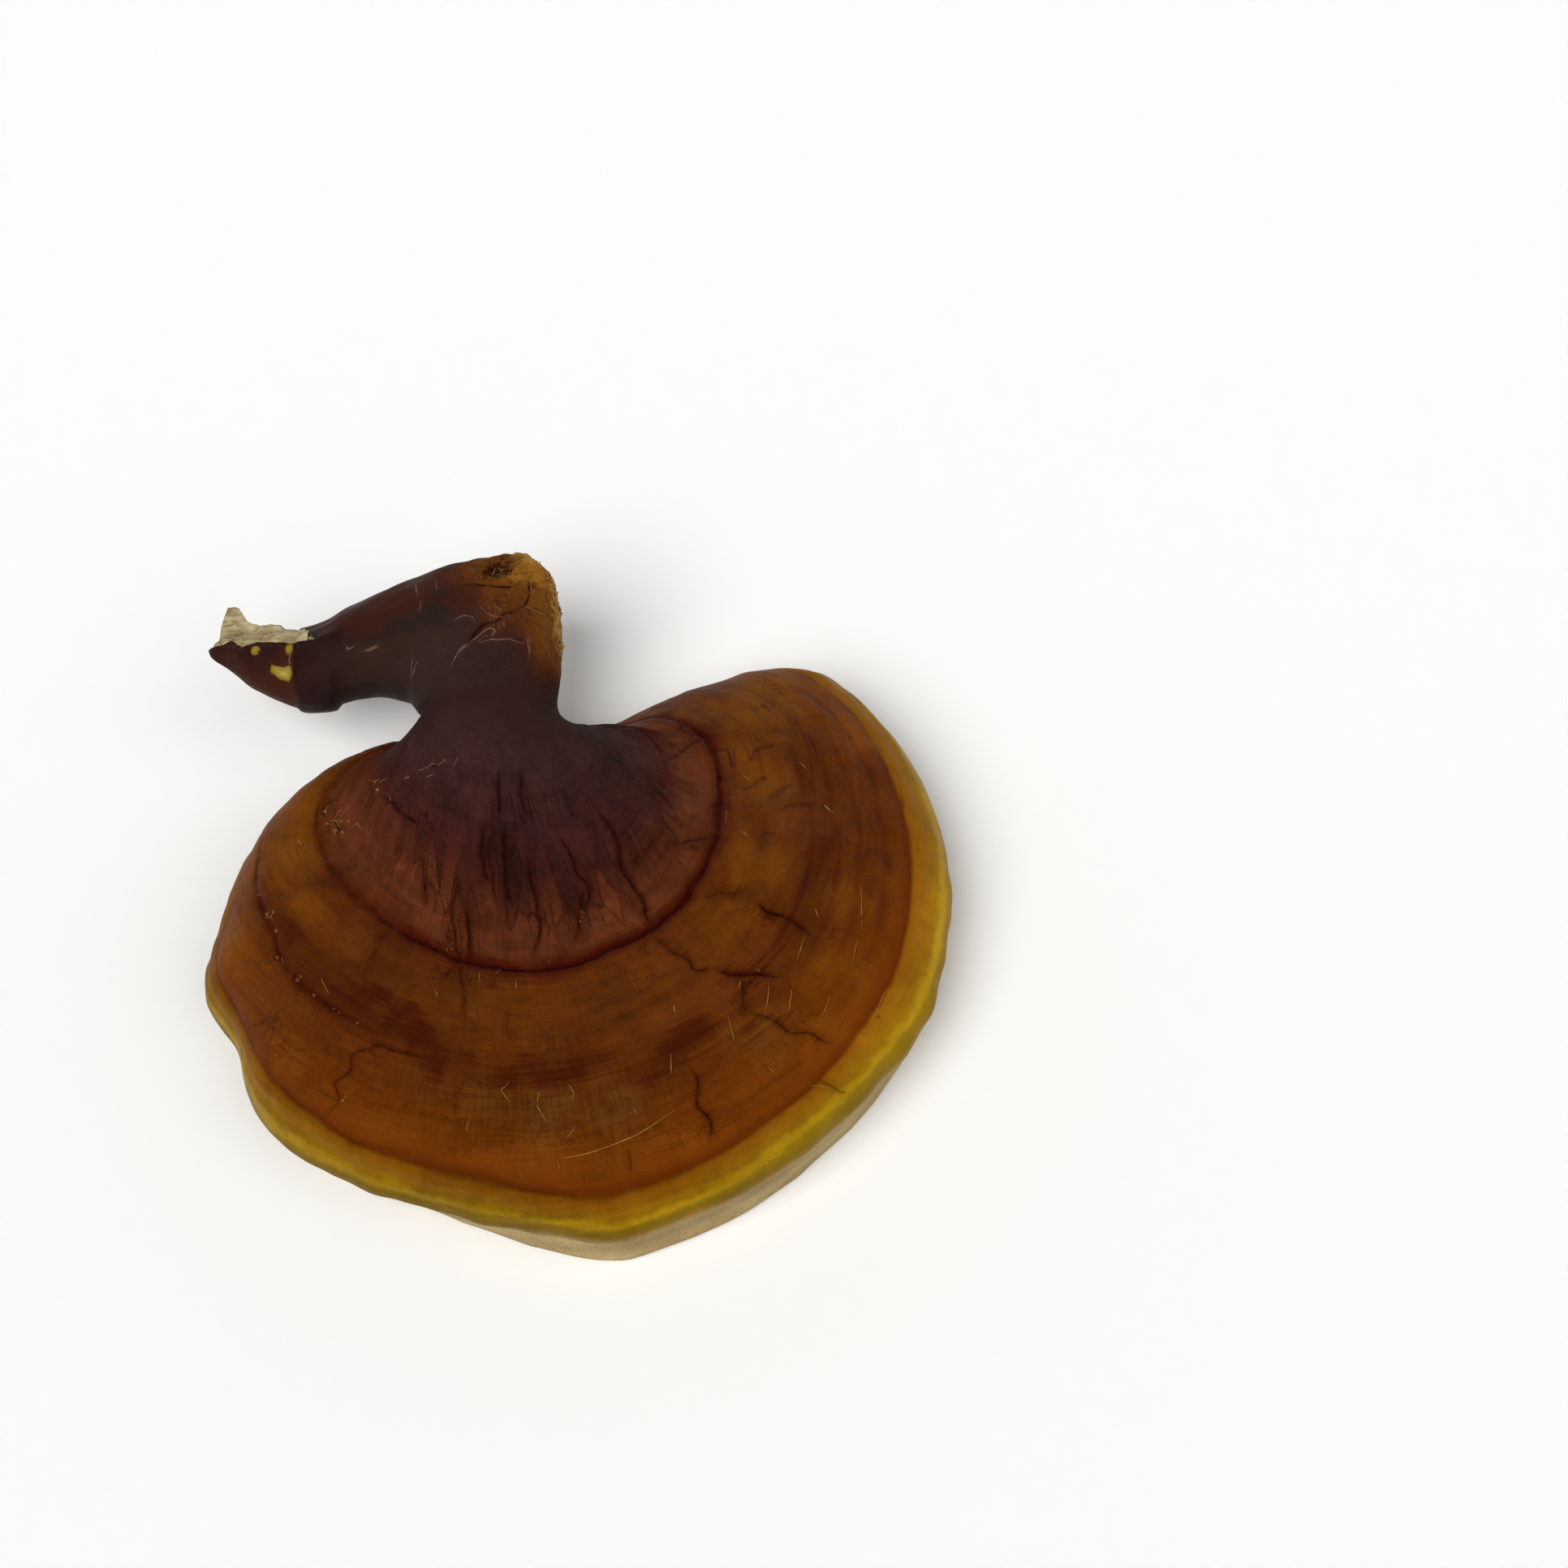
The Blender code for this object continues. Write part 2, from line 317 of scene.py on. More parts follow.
class Surface:
    # the fine grid of the mushroom: rows from the tip to the pores, columns round it
    def __init__(self):
        self.degrees = -np.arange(fineMesh["columns"]) * 360.0 / fineMesh["columns"]
        loops, keyGrowth = keyLoops(self.degrees)
        lengths = np.percentile(np.linalg.norm(np.diff(loops, axis=0), axis=2), 85, axis=1)
        last = len(loops) - 1
        places = [0.0]
        while places[-1] < last:
            growth = np.interp(places[-1], np.arange(last + 1), keyGrowth)
            gap = min(int(places[-1]), last - 1)
            places.append(places[-1] + along(fineMesh["spacing"], growth) / lengths[gap])
        places = np.array(places[:-1] + [last])
        self.points = loopsAt(loops, places)
        self.growth = np.interp(places, np.arange(last + 1), keyGrowth)
        self.findNormals()
        side, upPlane, out = stemFrame()
        local = self.points - np.array(stem["base"])
        self.across, self.up, self.lift = local @ side, local @ upPlane, local @ out
        steps = np.linalg.norm(np.diff(self.points, axis=0), axis=2)
        self.length = np.concatenate([np.zeros((1, steps.shape[1])), np.cumsum(steps, axis=0)])
        self.length -= self.atGrowth(self.length, np.full(len(self.degrees), 1.0))   # mm past the first ring

    def findNormals(self):
        acrossRow = np.roll(self.points, -1, axis=1) - np.roll(self.points, 1, axis=1)
        downColumn = np.gradient(self.points, axis=0)
        normals = np.cross(acrossRow, downColumn)
        normals[0] = normals[1].mean(axis=0)
        normals[-1] = (0, 0, -1)
        self.normals = normals / np.maximum(np.linalg.norm(normals, axis=2), 1e-9)[:, :, None]

    def atGrowth(self, field, growth):
        # the field on a line that runs round the surface, at one growth for each column
        row = np.interp(growth, self.growth, np.arange(len(self.growth)))
        low = np.minimum(row.astype(int), len(self.growth) - 2)
        columns = np.arange(len(self.degrees))
        part = row - low
        if field.ndim == 3:
            part = part[:, None]
        return field[low, columns] * (1 - part) + field[low + 1, columns] * part

    def pointAt(self, degrees, growth, field=None):
        # the field, or else points in mm, at directions and growths
        field = self.points if field is None else field
        row = np.interp(growth, self.growth, np.arange(len(self.growth)))
        column = (-np.asarray(degrees, float)) % 360 / 360 * len(self.degrees)
        low = np.minimum(row.astype(int), len(self.growth) - 2)
        left = column.astype(int) % len(self.degrees)
        right = (left + 1) % len(self.degrees)
        down = (row - low)[:, None]
        over = (column - column.astype(int))[:, None]
        near = field[low, left] * (1 - over) + field[low, right] * over
        far = field[low + 1, left] * (1 - over) + field[low + 1, right] * over
        return near * (1 - down) + far * down


surface = Surface()
print("fine grid:", surface.points.shape[0], "rows")

# Rings in the crust where growth stopped and started again: growth at directions, depth and half width
# of the groove in mm, how broken it is, the swollen lip on the side of the stem, how dark it is, how far
# the maroon reaches before it and past it, and how strongly it shows at directions
# The dark line and the maroon round each ring are partly the crust's colour and partly painted shade in its
# groove and in the shadow of its step.
rings = [
    {"path": [(-180, 1.0), (0, 1.0), (24, 1.03), (40, 1.06)],
     "depth": 0.5, "halfWidth": 0.5, "broken": 0.35, "lip": 0.05, "ink": 1.35, "glow": (1.9, 2.1),
     "strength": [(-180, 0.25), (-165, 0.42), (-130, 0.5), (-112, 0.85), (-60, 1.0), (-10, 0.95), (20, 0.8),
                  (34, 0.5), (50, 0.3), (150, 0.3)]},
    {"path": [(-170, 1.66), (-157, 1.59), (-145, 1.515), (-139, 1.545), (-132, 1.52), (-124, 1.48),
              (-112, 1.47), (-95, 1.53)],
     "depth": 0.4, "halfWidth": 0.5, "broken": 0.6, "lip": 0.16, "ink": 0.95, "glow": (4.2, 1.7),
     "strength": [(-172, 0.0), (-160, 0.8), (-140, 1.0), (-122, 0.9), (-112, 0.35), (-98, 0.0)]},
    {"path": [(-40, 0.84), (-22, 0.79), (-9, 0.775), (3, 0.775), (19, 0.72), (40, 0.7)],
     "depth": 0.35, "halfWidth": 0.5, "broken": 0.7, "lip": 0.2, "ink": 0.7,
     "strength": [(-40, 0.0), (-28, 0.6), (-8, 1.0), (10, 1.0), (26, 0.6), (40, 0.0)]},
]
# and four faint ones at the right
for places, depth, ink, rise in (
    ((1.45, 1.4, 1.38), 0.14, 0.34, ((-48, 0.0), (-25, 0.8))),
    ((1.56, 1.51, 1.49), 0.16, 0.42, ((-46, 0.0), (-25, 0.9))),
    ((1.66, 1.6, 1.59), 0.14, 0.36, ((-46, 0.0), (-20, 0.9))),
    ((1.76, 1.72, 1.7), 0.18, 0.4, ((-50, 0.0), (-30, 0.7))),
):
    rings.append({
        "path": list(zip((-50, -13, 30), places)), "depth": depth, "halfWidth": 0.7, "broken": 0.9,
        "lip": 0.08, "ink": ink, "strength": [*rise, (0, 1.0), (25, 0.7), (38, 0.0)],
    })

# The thin red-brown line where the crust turns yellow
marginLine = [
    (-180, 1.9), (-160, 1.9), (-135, 1.9), (-120, 1.875), (-105, 1.905), (-90, 1.9), (-75, 1.905),
    (-60, 1.885), (-45, 1.865), (-30, 1.84), (-10, 1.82), (30, 1.85), (60, 1.93), (90, 1.95), (150, 1.92),
]

# Cracks across the rings: (direction, growth) points, depth in mm, and how dark each is
# Their dark colour is partly the crust's own and partly painted shade in the groove.
cracks = [
    ([(-46.5, 0.63), (-45, 0.78), (-49, 0.83), (-47.5, 0.92), (-49.5, 1.0)], 0.4, 1.3),
    ([(-61.5, 0.83), (-66, 0.89), (-69, 0.95)], 0.25, 0.87),
    ([(-30, 1.26), (-31, 1.33), (-30, 1.4), (-30.5, 1.5)], 0.35, 1.2),
    ([(-51, 1.03), (-49.5, 1.17), (-50, 1.24), (-46.5, 1.3)], 0.25, 0.8),
    ([(-46.5, 1.3), (-43.5, 1.4), (-42, 1.43), (-40.5, 1.49)], 0.45, 1.4),
    ([(-60, 1.59), (-60, 1.63), (-61.8, 1.72), (-61, 1.79), (-62, 1.84)], 0.35, 0.85),
    ([(-72, 1.77), (-72.4, 1.86)], 0.2, 0.4),
    ([(-104, 1.5), (-109.5, 1.52), (-114, 1.6), (-113, 1.66), (-114.5, 1.73), (-112.5, 1.78), (-114, 1.85)],
     0.3, 0.6),
    ([(-133.5, 1.85), (-132, 1.75)], 0.2, 0.45),
    ([(-48, 1.52), (-46.5, 1.57), (-45, 1.68), (-42, 1.82)], 0.2, 0.65),
    ([(-46.5, 1.87), (-45, 1.96)], 0.2, 0.45),
    ([(-45, 1.4), (-46, 1.45), (-48, 1.49)], 0.2, 0.65),
    ([(31, 1.02), (26, 0.96), (22, 1.04)], 0.3, 0.55),
    ([(16, 1.01), (14, 1.08), (8, 1.07)], 0.25, 0.6),
    ([(0, 1.1), (1, 1.16), (4.5, 1.23)], 0.2, 0.5),
    ([(-3, 1.23), (1.5, 1.33)], 0.25, 0.5),
    ([(-6, 1.26), (-4, 1.33), (-3, 1.41)], 0.25, 0.5),
    ([(10.5, 1.06), (12, 1.1), (15, 1.13)], 0.2, 0.5),
    ([(9, 1.16), (12, 1.22), (13.5, 1.33)], 0.2, 0.5),
    ([(-100.5, 1.0), (-99, 1.08), (-97.5, 1.17), (-96, 1.28)], 0.2, 0.58),
    ([(-90, 0.62), (-91, 0.72), (-90, 0.83)], 0.25, 0.72),
    ([(-104, 0.78), (-105.5, 0.87), (-104.5, 0.99)], 0.2, 0.72),
    ([(-24, 0.8), (-26, 0.88), (-25, 0.98)], 0.15, 0.51),
    ([(-171, 0.945), (-175.5, 0.94), (-175.5, 0.89)], 0.3, 0.72),
    ([(-170, 0.93), (-166.5, 0.889), (-163, 0.885), (-159, 0.835)], 0.3, 0.58),
    ([(-126, 0.39), (-121.5, 0.385)], 0.2, 0.58),
    ([(-73.5, 0.39), (-76, 0.47), (-75.5, 0.56)], 0.35, 0.9),
    ([(-84, 0.39), (-85.5, 0.48), (-85.5, 0.56)], 0.35, 0.8),
    ([(-92.8, 0.61), (-94, 0.7), (-92.6, 0.78)], 0.3, 1.1),
    ([(-85.4, 0.61), (-85.6, 0.72), (-85.4, 0.83)], 0.3, 1),
    ([(-78, 0.72), (-77.8, 0.83), (-78, 0.89), (-80.5, 0.97)], 0.3, 1.2),
    ([(-62, 0.79), (-60, 0.83), (-64.4, 0.89)], 0.25, 1),
    ([(-64.6, 0.67), (-63.5, 0.74), (-61.6, 0.83)], 0.25, 1),
    ([(-100.2, 0.86), (-99, 0.94), (-97.6, 1)], 0.3, 1.2),
    ([(-104.9, 0.89), (-103.5, 0.944), (-100.3, 1)], 0.2, 0.8),
    ([(-117.2, 0.83), (-113.8, 0.89)], 0.2, 0.7),
    ([(-27, 0.84), (-40.6, 0.83), (-46.6, 0.83)], 0.2, 0.7),
    ([(-29, 0.89), (-22, 0.944), (-17.5, 1)], 0.2, 0.9),
    ([(-146.5, 0.63), (-130, 0.667), (-123.4, 0.667)], 0.3, 1),
    ([(4.4, 0.78), (15, 0.89), (20.8, 1)], 0.2, 0.9),
    ([(-124.7, 0.944), (-123.2, 1.02), (-121.2, 1.17), (-119, 1.32)], 0.2, 0.3),
    ([(-101, 1), (-101.9, 1.03), (-103.7, 1.11)], 0.25, 0.7),
    ([(-106.5, 1.13), (-98.8, 1.078), (-92.8, 1.078)], 0.15, 0.4),
    ([(-87.5, 1.19), (-87, 1.33)], 0.1, 0.3),
    ([(-35.8, 1.06), (-32, 1.12), (-29.4, 1.21)], 0.15, 0.6),
]

# Scars on the outer side of the stem: (across, up) points in its plane, depth and how dark
# Their dark colour is partly the crust's own and partly painted shade in the groove.
stemCracks = [
    ([(-9.4, 26.4), (-7.2, 26.1), (-3.8, 25.6), (-1.8, 26.0)], 0.5, 1.3),
    ([(0.9, 27.0), (0.8, 24.6), (0.4, 22.5)], 0.5, 1.5),
    ([(0.5, 22.7), (-1.0, 21.2), (-2.2, 20.9), (-2.8, 19.8), (-4.3, 18.5), (-6.5, 17.9), (-8.8, 14.8)],
     0.55, 1.5),
    ([(0.9, 26.8), (2.6, 28.0), (4.1, 30.2)], 0.3, 0.7),
    ([(0.3, 22.3), (2.5, 22.1), (4.8, 21.7)], 0.2, 0.5),
    ([(-10.3, 31.9), (-8.2, 31.0), (-6.3, 29.2)], 0.4, 0.8),
    ([(-3.9, 27.1), (-2.0, 29.7), (-0.4, 31.7)], 0.25, 0.6),
    ([(-3.6, 27.0), (-1.0, 28.8), (1.9, 30.2)], 0.2, 0.45),
    ([(-1.7, 26.4), (1.3, 27.6), (3.2, 29.3)], 0.15, 0.35),
    ([(3.4, 27.1), (4.3, 23.4), (4.7, 20.5)], 0.3, 0.55),
    ([(6.0, 20.2), (6.2, 17.0), (6.0, 13.6)], 0.3, 0.6),
    ([(5.2, 17.5), (5.4, 14.5)], 0.2, 0.4),
    ([(-4.6, 23.0), (-3.0, 22.3), (-1.6, 22.6)], 0.2, 0.4),
    ([(-40.6, 19.4), (-40.3, 17.0), (-39.9, 11.5), (-40.4, 8.2)], 0.3, 0.7),
]

knob = {
    "foot": [(-9.0, 15.6), (-4.3, 15.2), (-0.4, 14.6), (1.5, 13.6), (5.5, 9.5), (8, 8.0)],
    "leftEdge": (-13.5, 31.0),  # the brown fades out to the left past a slanted line through here
    "longCrack": (25.4, 26.8),  # how far up it is, and how much paler the crust is above it
    "topStep": 2.0,
    "rightStep": 5.2,           # and at the right
    # the rim is pale partly from flaky skin and partly as a painted highlight along the knob's right edge
    "rim": [(-2.2, 33.6), (1.5, 32.2), (3.3, 31.4), (4.7, 28.3), (5.3, 24.0), (5.9, 20.5), (6.5, 17.0)],
    "rimHalfWidth": 1.3,
    "fan": [(-3.6, 27.2), (3.4, 27.0), (3.9, 29.8), (1.7, 31.8), (-1.6, 32.6)],  # corners of the pale top
    "pit": {"middle": (-4.7, 30.6), "lean": 46.0, "halfWidth": 2.2, "halfLength": 3.7, "depth": 1.4},
}

tornEnd = {
    "edge": [
        (-57, 17.6), (-55.5, 17.8), (-52.6, 18.7), (-50.3, 16.9), (-48, 17.8), (-45.6, 17.8), (-41.2, 17.1),
        (-37.8, 17.0),
    ],
    "crustTop": (-40.6, 19.6),
    "chips": [((-47.9, 15.9), (0.85, 1.1)), ((-41.6, 15.9), (0.7, 1.4))],
    "lowChip": [(-44.7, 12.6), (-45.0, 11.5), (-43.1, 9.9), (-41.4, 9.3), (-40.8, 10.8), (-41.1, 12.2)],
    "bite": ((-42.3, 13.0), (1.15, 1.0)),  # the crust that is left over the low chip
    "hole": (-47.5, 15.5),      # the upper chip has a dark hole in it
    "holeRadius": 0.3,
    "crustStep": -40.4,         # the crust is broken off past here
    "notch": -33.6,             # and thicker below, up to here
}

# Pale scuffs where the skin is scratched or lifted: points as for the cracks, and strength. Their pale colour
# is partly the skin's own and partly painted glints.
stemScuffsAndGlints = [
    ([(-11.5, 19.2), (-10.1, 20.1), (-8.5, 19.8), (-8.2, 18.8)], 0.55),
    ([(-7.1, 21.5), (-5.9, 19.9), (-3.4, 19.3), (-2.2, 20.2)], 0.5),
    ([(-4.9, 22.5), (-4.1, 21.7), (-2.9, 21.3)], 0.45),
    ([(-3.7, 19.0), (-2.8, 18.2), (-2.6, 16.9)], 0.5),
    ([(-8.5, 15.0), (-7.2, 16.1), (-5.3, 17.7), (-4.7, 16.8), (-4.5, 15.7)], 0.75),
    ([(-7.7, 14.7), (-5.2, 15.3), (-3.7, 15.1), (-1.1, 15.4), (1.0, 15.1)], 0.7),
    ([(-7.0, 15.0), (-6.2, 16.4), (-5.6, 15.4)], 0.5),
    ([(-0.2, 22.6), (1.6, 21.9), (4.2, 21.5)], 0.5),
    ([(1.2, 16.6), (1.3, 12.7)], 0.3),
    ([(3.4, 16.2), (4.5, 13.7)], 0.45),
    ([(-11.9, 10.9), (-10.7, 13.2), (-8.8, 14.8)], 0.6),
    ([(-30.9, 15.1), (-30.7, 14.4), (-30.0, 14.8)], 0.6),
    ([(-27.6, 14.3), (-26.6, 14.5), (-25.4, 15.1)], 0.6),
    ([(-19.0, 12.6), (-19.2, 9.8)], 0.45),
    ([(-18.3, 11.3), (-19.3, 9.7)], 0.35),
    ([(-19.4, 27.4), (-18.5, 24.2)], 0.3),
    ([(-17.7, 22.5), (-18.1, 20.8)], 0.25),
    ([(-41.3, 15.0), (-41.4, 12.3)], 0.6),
    ([(-5.5, 28.7), (-5.6, 30.8), (-5.0, 32.0)], 1.0),
    ([(-4.2, 28.6), (-3.9, 30.4), (-3.4, 31.6)], 0.8),
    ([(-8.4, 33.0), (-5.7, 33.8), (-3.8, 34.1)], 0.9),
]

# pale strokes on the cap: crinkles and scratches, with painted highlights on them
capScuffsAndGlints = [
    ([(-165, 1.2), (-163.5, 1.1)], 0.5),
    ([(-126, 0.39), (-122, 0.36)], 0.5),
    ([(-118, 0.35), (-115, 0.37)], 0.45),
    ([(-150, 0.62), (-146, 0.6), (-143, 0.64)], 0.5),
    ([(-157, 0.83), (-155, 0.79), (-152, 0.8)], 0.5),
    ([(-110, 0.38), (-108, 0.35)], 0.35),
    ([(-140, 0.48), (-137, 0.5)], 0.35),
]

# Patches of colour: direction, growth, size in mm, strength
# The maroon spots from -12 to 10 degrees at growth 1.45 to 1.74 are partly the crust's maroon and partly a
# painted shadow of a neighbouring cap.
maroonPatches = [
    (-116, 1.33, 4.5, 1.0), (-107, 1.4, 5.5, 0.95), (-122, 1.42, 5.0, 1.0), (-129, 1.46, 3.6, 0.8),
    (-5, 1.7, 6.0, 0.5), (-12, 1.66, 4.5, 0.5), (5, 1.74, 7.0, 0.5), (-99, 1.1, 3.2, 0.8),
    (-96, 1.14, 3.6, 0.5), (-134, 1.1, 4.0, 0.2), (-141, 1.1, 3.4, 0.4), (-118, 1.18, 4.0, 0.4),
    (-76, 1.44, 6.0, 0.35), (-60, 1.48, 6.0, 0.35), (-44, 1.42, 4.0, 0.3), (-52, 1.3, 4.5, 0.4),
    (-29, 1.41, 4.0, 0.55), (-143, 1.48, 4.0, 0.45), (-18, 1.42, 4.0, 0.35), (-5, 1.45, 7.0, 0.4),
    (10, 1.5, 7.0, 0.45), (-64, 1.66, 4.0, 0.35), (-88, 1.3, 4.0, 0.3), (-80, 1.12, 3.0, 0.35),
    (-139, 1.38, 4.0, 0.5), (-112, 1.62, 3.5, 0.4), (-125, 1.31, 4.0, 0.5), (-155, 1.16, 3.0, 0.45),
    (-124, 1.03, 2.2, 0.9), (-122.5, 1.12, 2.4, 0.75), (-121, 1.2, 2.6, 0.6), (-100, 1.05, 2.2, 0.8),
    (-88, 1.06, 3.0, 0.5), (-119, 1.38, 5.0, 1.0), (-111, 1.43, 4.5, 0.9), (-103, 1.49, 4.5, 0.85),
    (-96, 1.48, 4.5, 0.7), (-89, 1.49, 4.5, 0.6), (-81, 1.49, 4.5, 0.5), (-70, 1.47, 4.5, 0.5),
    (-136, 1.42, 4.0, 0.6), (-100, 1.5, 4.0, 1.0),
]
amberPatches = [
    (-165, 1.35, 12.0, 0.75), (-150, 1.75, 9.0, 0.6), (178, 1.4, 12.0, 0.7), (-146, 1.28, 6.0, 0.55),
    (-22, 1.2, 8.0, 0.6), (-40, 1.2, 7.0, 0.45), (4, 1.22, 8.0, 0.55), (28, 1.5, 12.0, 0.9),
    (33, 1.15, 6.0, 0.6), (-118, 1.24, 4.0, 0.25), (-131, 1.22, 4.5, 0.5), (14, 1.85, 10.0, 0.5),
    (-64, 1.16, 6.0, 0.4), (-92, 1.22, 5.0, 0.35), (-40, 1.76, 6.0, 0.5), (-34, 1.6, 8.0, 0.6),
    (-48, 1.56, 5.0, 0.45), (-22, 1.6, 6.0, 0.5), (-56, 1.78, 5.0, 0.3), (-126, 1.76, 6.0, 0.35),
    (-24, 1.74, 6.0, 0.3), (-164, 1.07, 3.5, 0.5), (-150, 1.06, 3.0, 0.4), (-135, 1.06, 3.0, 0.35),
    (10, 1.09, 4.0, 0.6), (-28, 1.08, 3.0, 0.35),
]
olivePatches = [
    (-92, 1.64, 6.0, 0.6), (-82, 1.62, 7.0, 0.8), (-73, 1.65, 7.0, 0.8), (-64, 1.6, 6.0, 0.55),
    (-50, 1.6, 6.0, 0.6), (-44, 1.6, 6.0, 0.55), (-100, 1.62, 5.0, 0.45), (-130, 1.64, 6.0, 0.4),
    (-60, 1.26, 6.0, 0.3), (-15, 1.62, 6.0, 0.3),
]


# How a drawn line wanders, and how it spreads over the vertices near it, in mm
lineShape = {
    "step": 0.4,
    "wander": ((2.6, 0.24), (0.8, 0.11)),  # wide turns and small jags: how far apart and to the side
    "search": 4.0,              # vertices this near are looked at
    "sides": 1.3,               # half widths: of the colour, the maroon round it, and the groove
    "glow": 2.2,
    "groove": 0.55,
    "ends": 1.0,                # how far it reaches past its ends
    "sink": 0.45,               # how much of the depth is cut into the mesh
}


def drawnLine(controls, seed):
    # control points to a finer line that wanders as a crack does
    controls = np.array(controls, float)
    steps = np.linalg.norm(np.diff(controls, axis=0), axis=1)
    at = np.concatenate([[0.0], np.cumsum(steps)])
    places = np.arange(0, at[-1] + lineShape["step"] / 2, lineShape["step"])
    line = alongPoints(places, at, controls)
    random = np.random.default_rng(seed)
    for turn, reach in lineShape["wander"]:
        turns = np.arange(0, at[-1] + turn, turn)
        shake = random.normal(0, reach, (len(turns), 3))
        shake[0] = 0
        line = line + alongPoints(places, turns, shake)
        line[1:-1] = (line[:-2] + 2 * line[1:-1] + line[2:]) / 4
    return line


def onStem2d(path):
    # (across, up) points of the stem's plane, lifted to its outer side
    side, upPlane, out = stemFrame()
    outer = (surface.lift > -1.0) & (surface.growth < 0.15)[:, None]
    lifted = []
    for across, up in path:
        share = np.where(outer, np.exp(-ellipse((across, up), (0.8, 0.8)) ** 2), 0)
        height = (share * surface.lift).sum() / share.sum()
        lifted.append(np.array(stem["base"]) + side * across + upPlane * up + out * height)
    return lifted


def drawnLines(onCap, onStem, seed):
    # the lines on the cap and on the stem, as drawn points with their depths and inks
    places = [surface.pointAt(*np.array(path).T) for path, _, _ in onCap]
    places += [onStem2d(path) for path, _, _ in onStem]
    return [
        (drawnLine(place, seed + index), depth, ink)
        for index, (place, (_, depth, ink)) in enumerate(zip(places, onCap + onStem))
    ]


def blankFields():
    # no line yet: distance from the nearest line in mm, how strongly it shows, maroon round it, and relief
    shape = surface.points.shape[:2]
    return np.full(shape, 5.0), np.zeros(shape), np.zeros(shape), np.zeros(shape)


def bell(distance, halfWidth):
    return np.exp(-(distance / halfWidth) ** 2)


def lineField(lines):
    distance, weight, glow, relief = blankFields()
    for path, depth, ink in lines:
        low, high = path.min(axis=0) - lineShape["search"], path.max(axis=0) + lineShape["search"]
        near = np.all((surface.points > low) & (surface.points < high), axis=2)
        points = surface.points[near]
        if not len(points):
            continue
        offsets = points[:, None] - path[None]
        nearest = np.argmin((offsets ** 2).sum(axis=2), axis=1)
        tangent = np.gradient(path, axis=0)
        tangent /= np.linalg.norm(tangent, axis=1)[:, None]
        offset = offsets[np.arange(len(points)), nearest]
        side = np.cross(tangent[nearest], surface.normals[near])
        side /= np.maximum(np.linalg.norm(side, axis=1), 1e-9)[:, None]
        across = (offset * side).sum(axis=1)
        ahead = (offset * tangent[nearest]).sum(axis=1)
        share = nearest / (len(path) - 1)
        taper = np.clip(np.minimum(share, 1 - share) * 6 + 0.25, 0, 1) * bell(ahead, lineShape["ends"])
        strength = ink * taper * bell(across, lineShape["sides"])
        stronger = strength > weight[near]
        distance[near] = np.where(stronger, across, distance[near])
        weight[near] = np.where(stronger, strength, weight[near])
        glow[near] = np.maximum(glow[near], min(ink, 1.0) * taper * bell(across, lineShape["glow"]))
        relief[near] -= lineShape["sink"] * depth * taper * bell(across, lineShape["groove"])
    return distance, weight, glow, relief


# What the rings have in common, in mm
ringShape = {
    "sides": 2.4,               # half width of the colour
    # past a ring, the maroon is partly a painted shadow of its step
    "glow": (1.7, 2.6),         # how far the maroon reaches before a ring and past it
    "lipBefore": 1.5,
    "lipHalfWidth": 1.1,
}


def capCircle():
    # one point for each column, on a circle of 40 mm, for noise that closes round the cap
    turn = np.radians(surface.degrees)
    return np.stack([np.cos(turn), np.sin(turn), np.zeros_like(turn)], axis=1) * 40


def ringField():
    distance, weight, glow, relief = blankFields()
    circle = capCircle()
    for index, ring in enumerate(rings):
        path = around(ring["path"], surface.degrees)
        path = path + softNoise(circle, 6.0, index) * 0.01 + softNoise(circle, 1.7, index + 20) * 0.006
        across = surface.length - surface.atGrowth(surface.length, path)
        gaps = 0.5 + 0.6 * softNoise(circle, 2.6, index + 40) + 0.4 * softNoise(circle, 1.1, index + 60)
        strength = around(ring["strength"], surface.degrees) * np.clip(1 - ring["broken"] * gaps, 0.05, 1.1)
        shown = strength * ring["ink"] * bell(across, ringShape["sides"])
        stronger = shown > weight
        distance = np.where(stronger, across / (1 + 0.6 * softNoise(circle, 4.0, index + 100)), distance)
        weight = np.where(stronger, shown, weight)
        before, past = ring.get("glow", ringShape["glow"])
        wide = np.where(across > 0, past, before) * (1 + 0.4 * softNoise(circle, 9.0, index + 80))
        glow = np.maximum(glow, np.minimum(strength, 1) * ring["ink"] * bell(across, wide))
        lip = ring["lip"] * bell(across + ringShape["lipBefore"], ringShape["lipHalfWidth"])
        relief += strength * (lip - ring["depth"] * bell(across, ring["halfWidth"]))
    return distance, weight, glow, relief


def window(value, start, rise, fall, end):
    return smoothStep(start, rise, value) * (1 - smoothStep(fall, end, value))


def patchField(patches, points):
    # soft spots on the cap, strongest at their middles
    total = np.zeros(points.shape[:2])
    for direction, growth, size, share in patches:
        spot = surface.pointAt(np.array([direction]), np.array([growth]))[0]
        away = np.linalg.norm(points - spot, axis=2)
        total = np.maximum(total, share * np.exp(-(away / size) ** 2))
    return total * (surface.growth > 0.5)[:, None]


def ridges(value, sharpness):
    # thin lines where noise crosses zero
    return np.clip(1 - np.abs(value) * sharpness, 0, 1) ** 2


def awayFromPath(path):
    # distance in the stem's plane from a path of (across, up) points
    nearest = np.full(surface.across.shape, 99.0)
    path = np.array(path)
    for start, end in zip(path[:-1], path[1:]):
        step = end - start
        across, up = surface.across - start[0], surface.up - start[1]
        part = np.clip((across * step[0] + up * step[1]) / (step ** 2).sum(), 0, 1)
        nearest = np.minimum(nearest, np.hypot(across - part * step[0], up - part * step[1]))
    return nearest


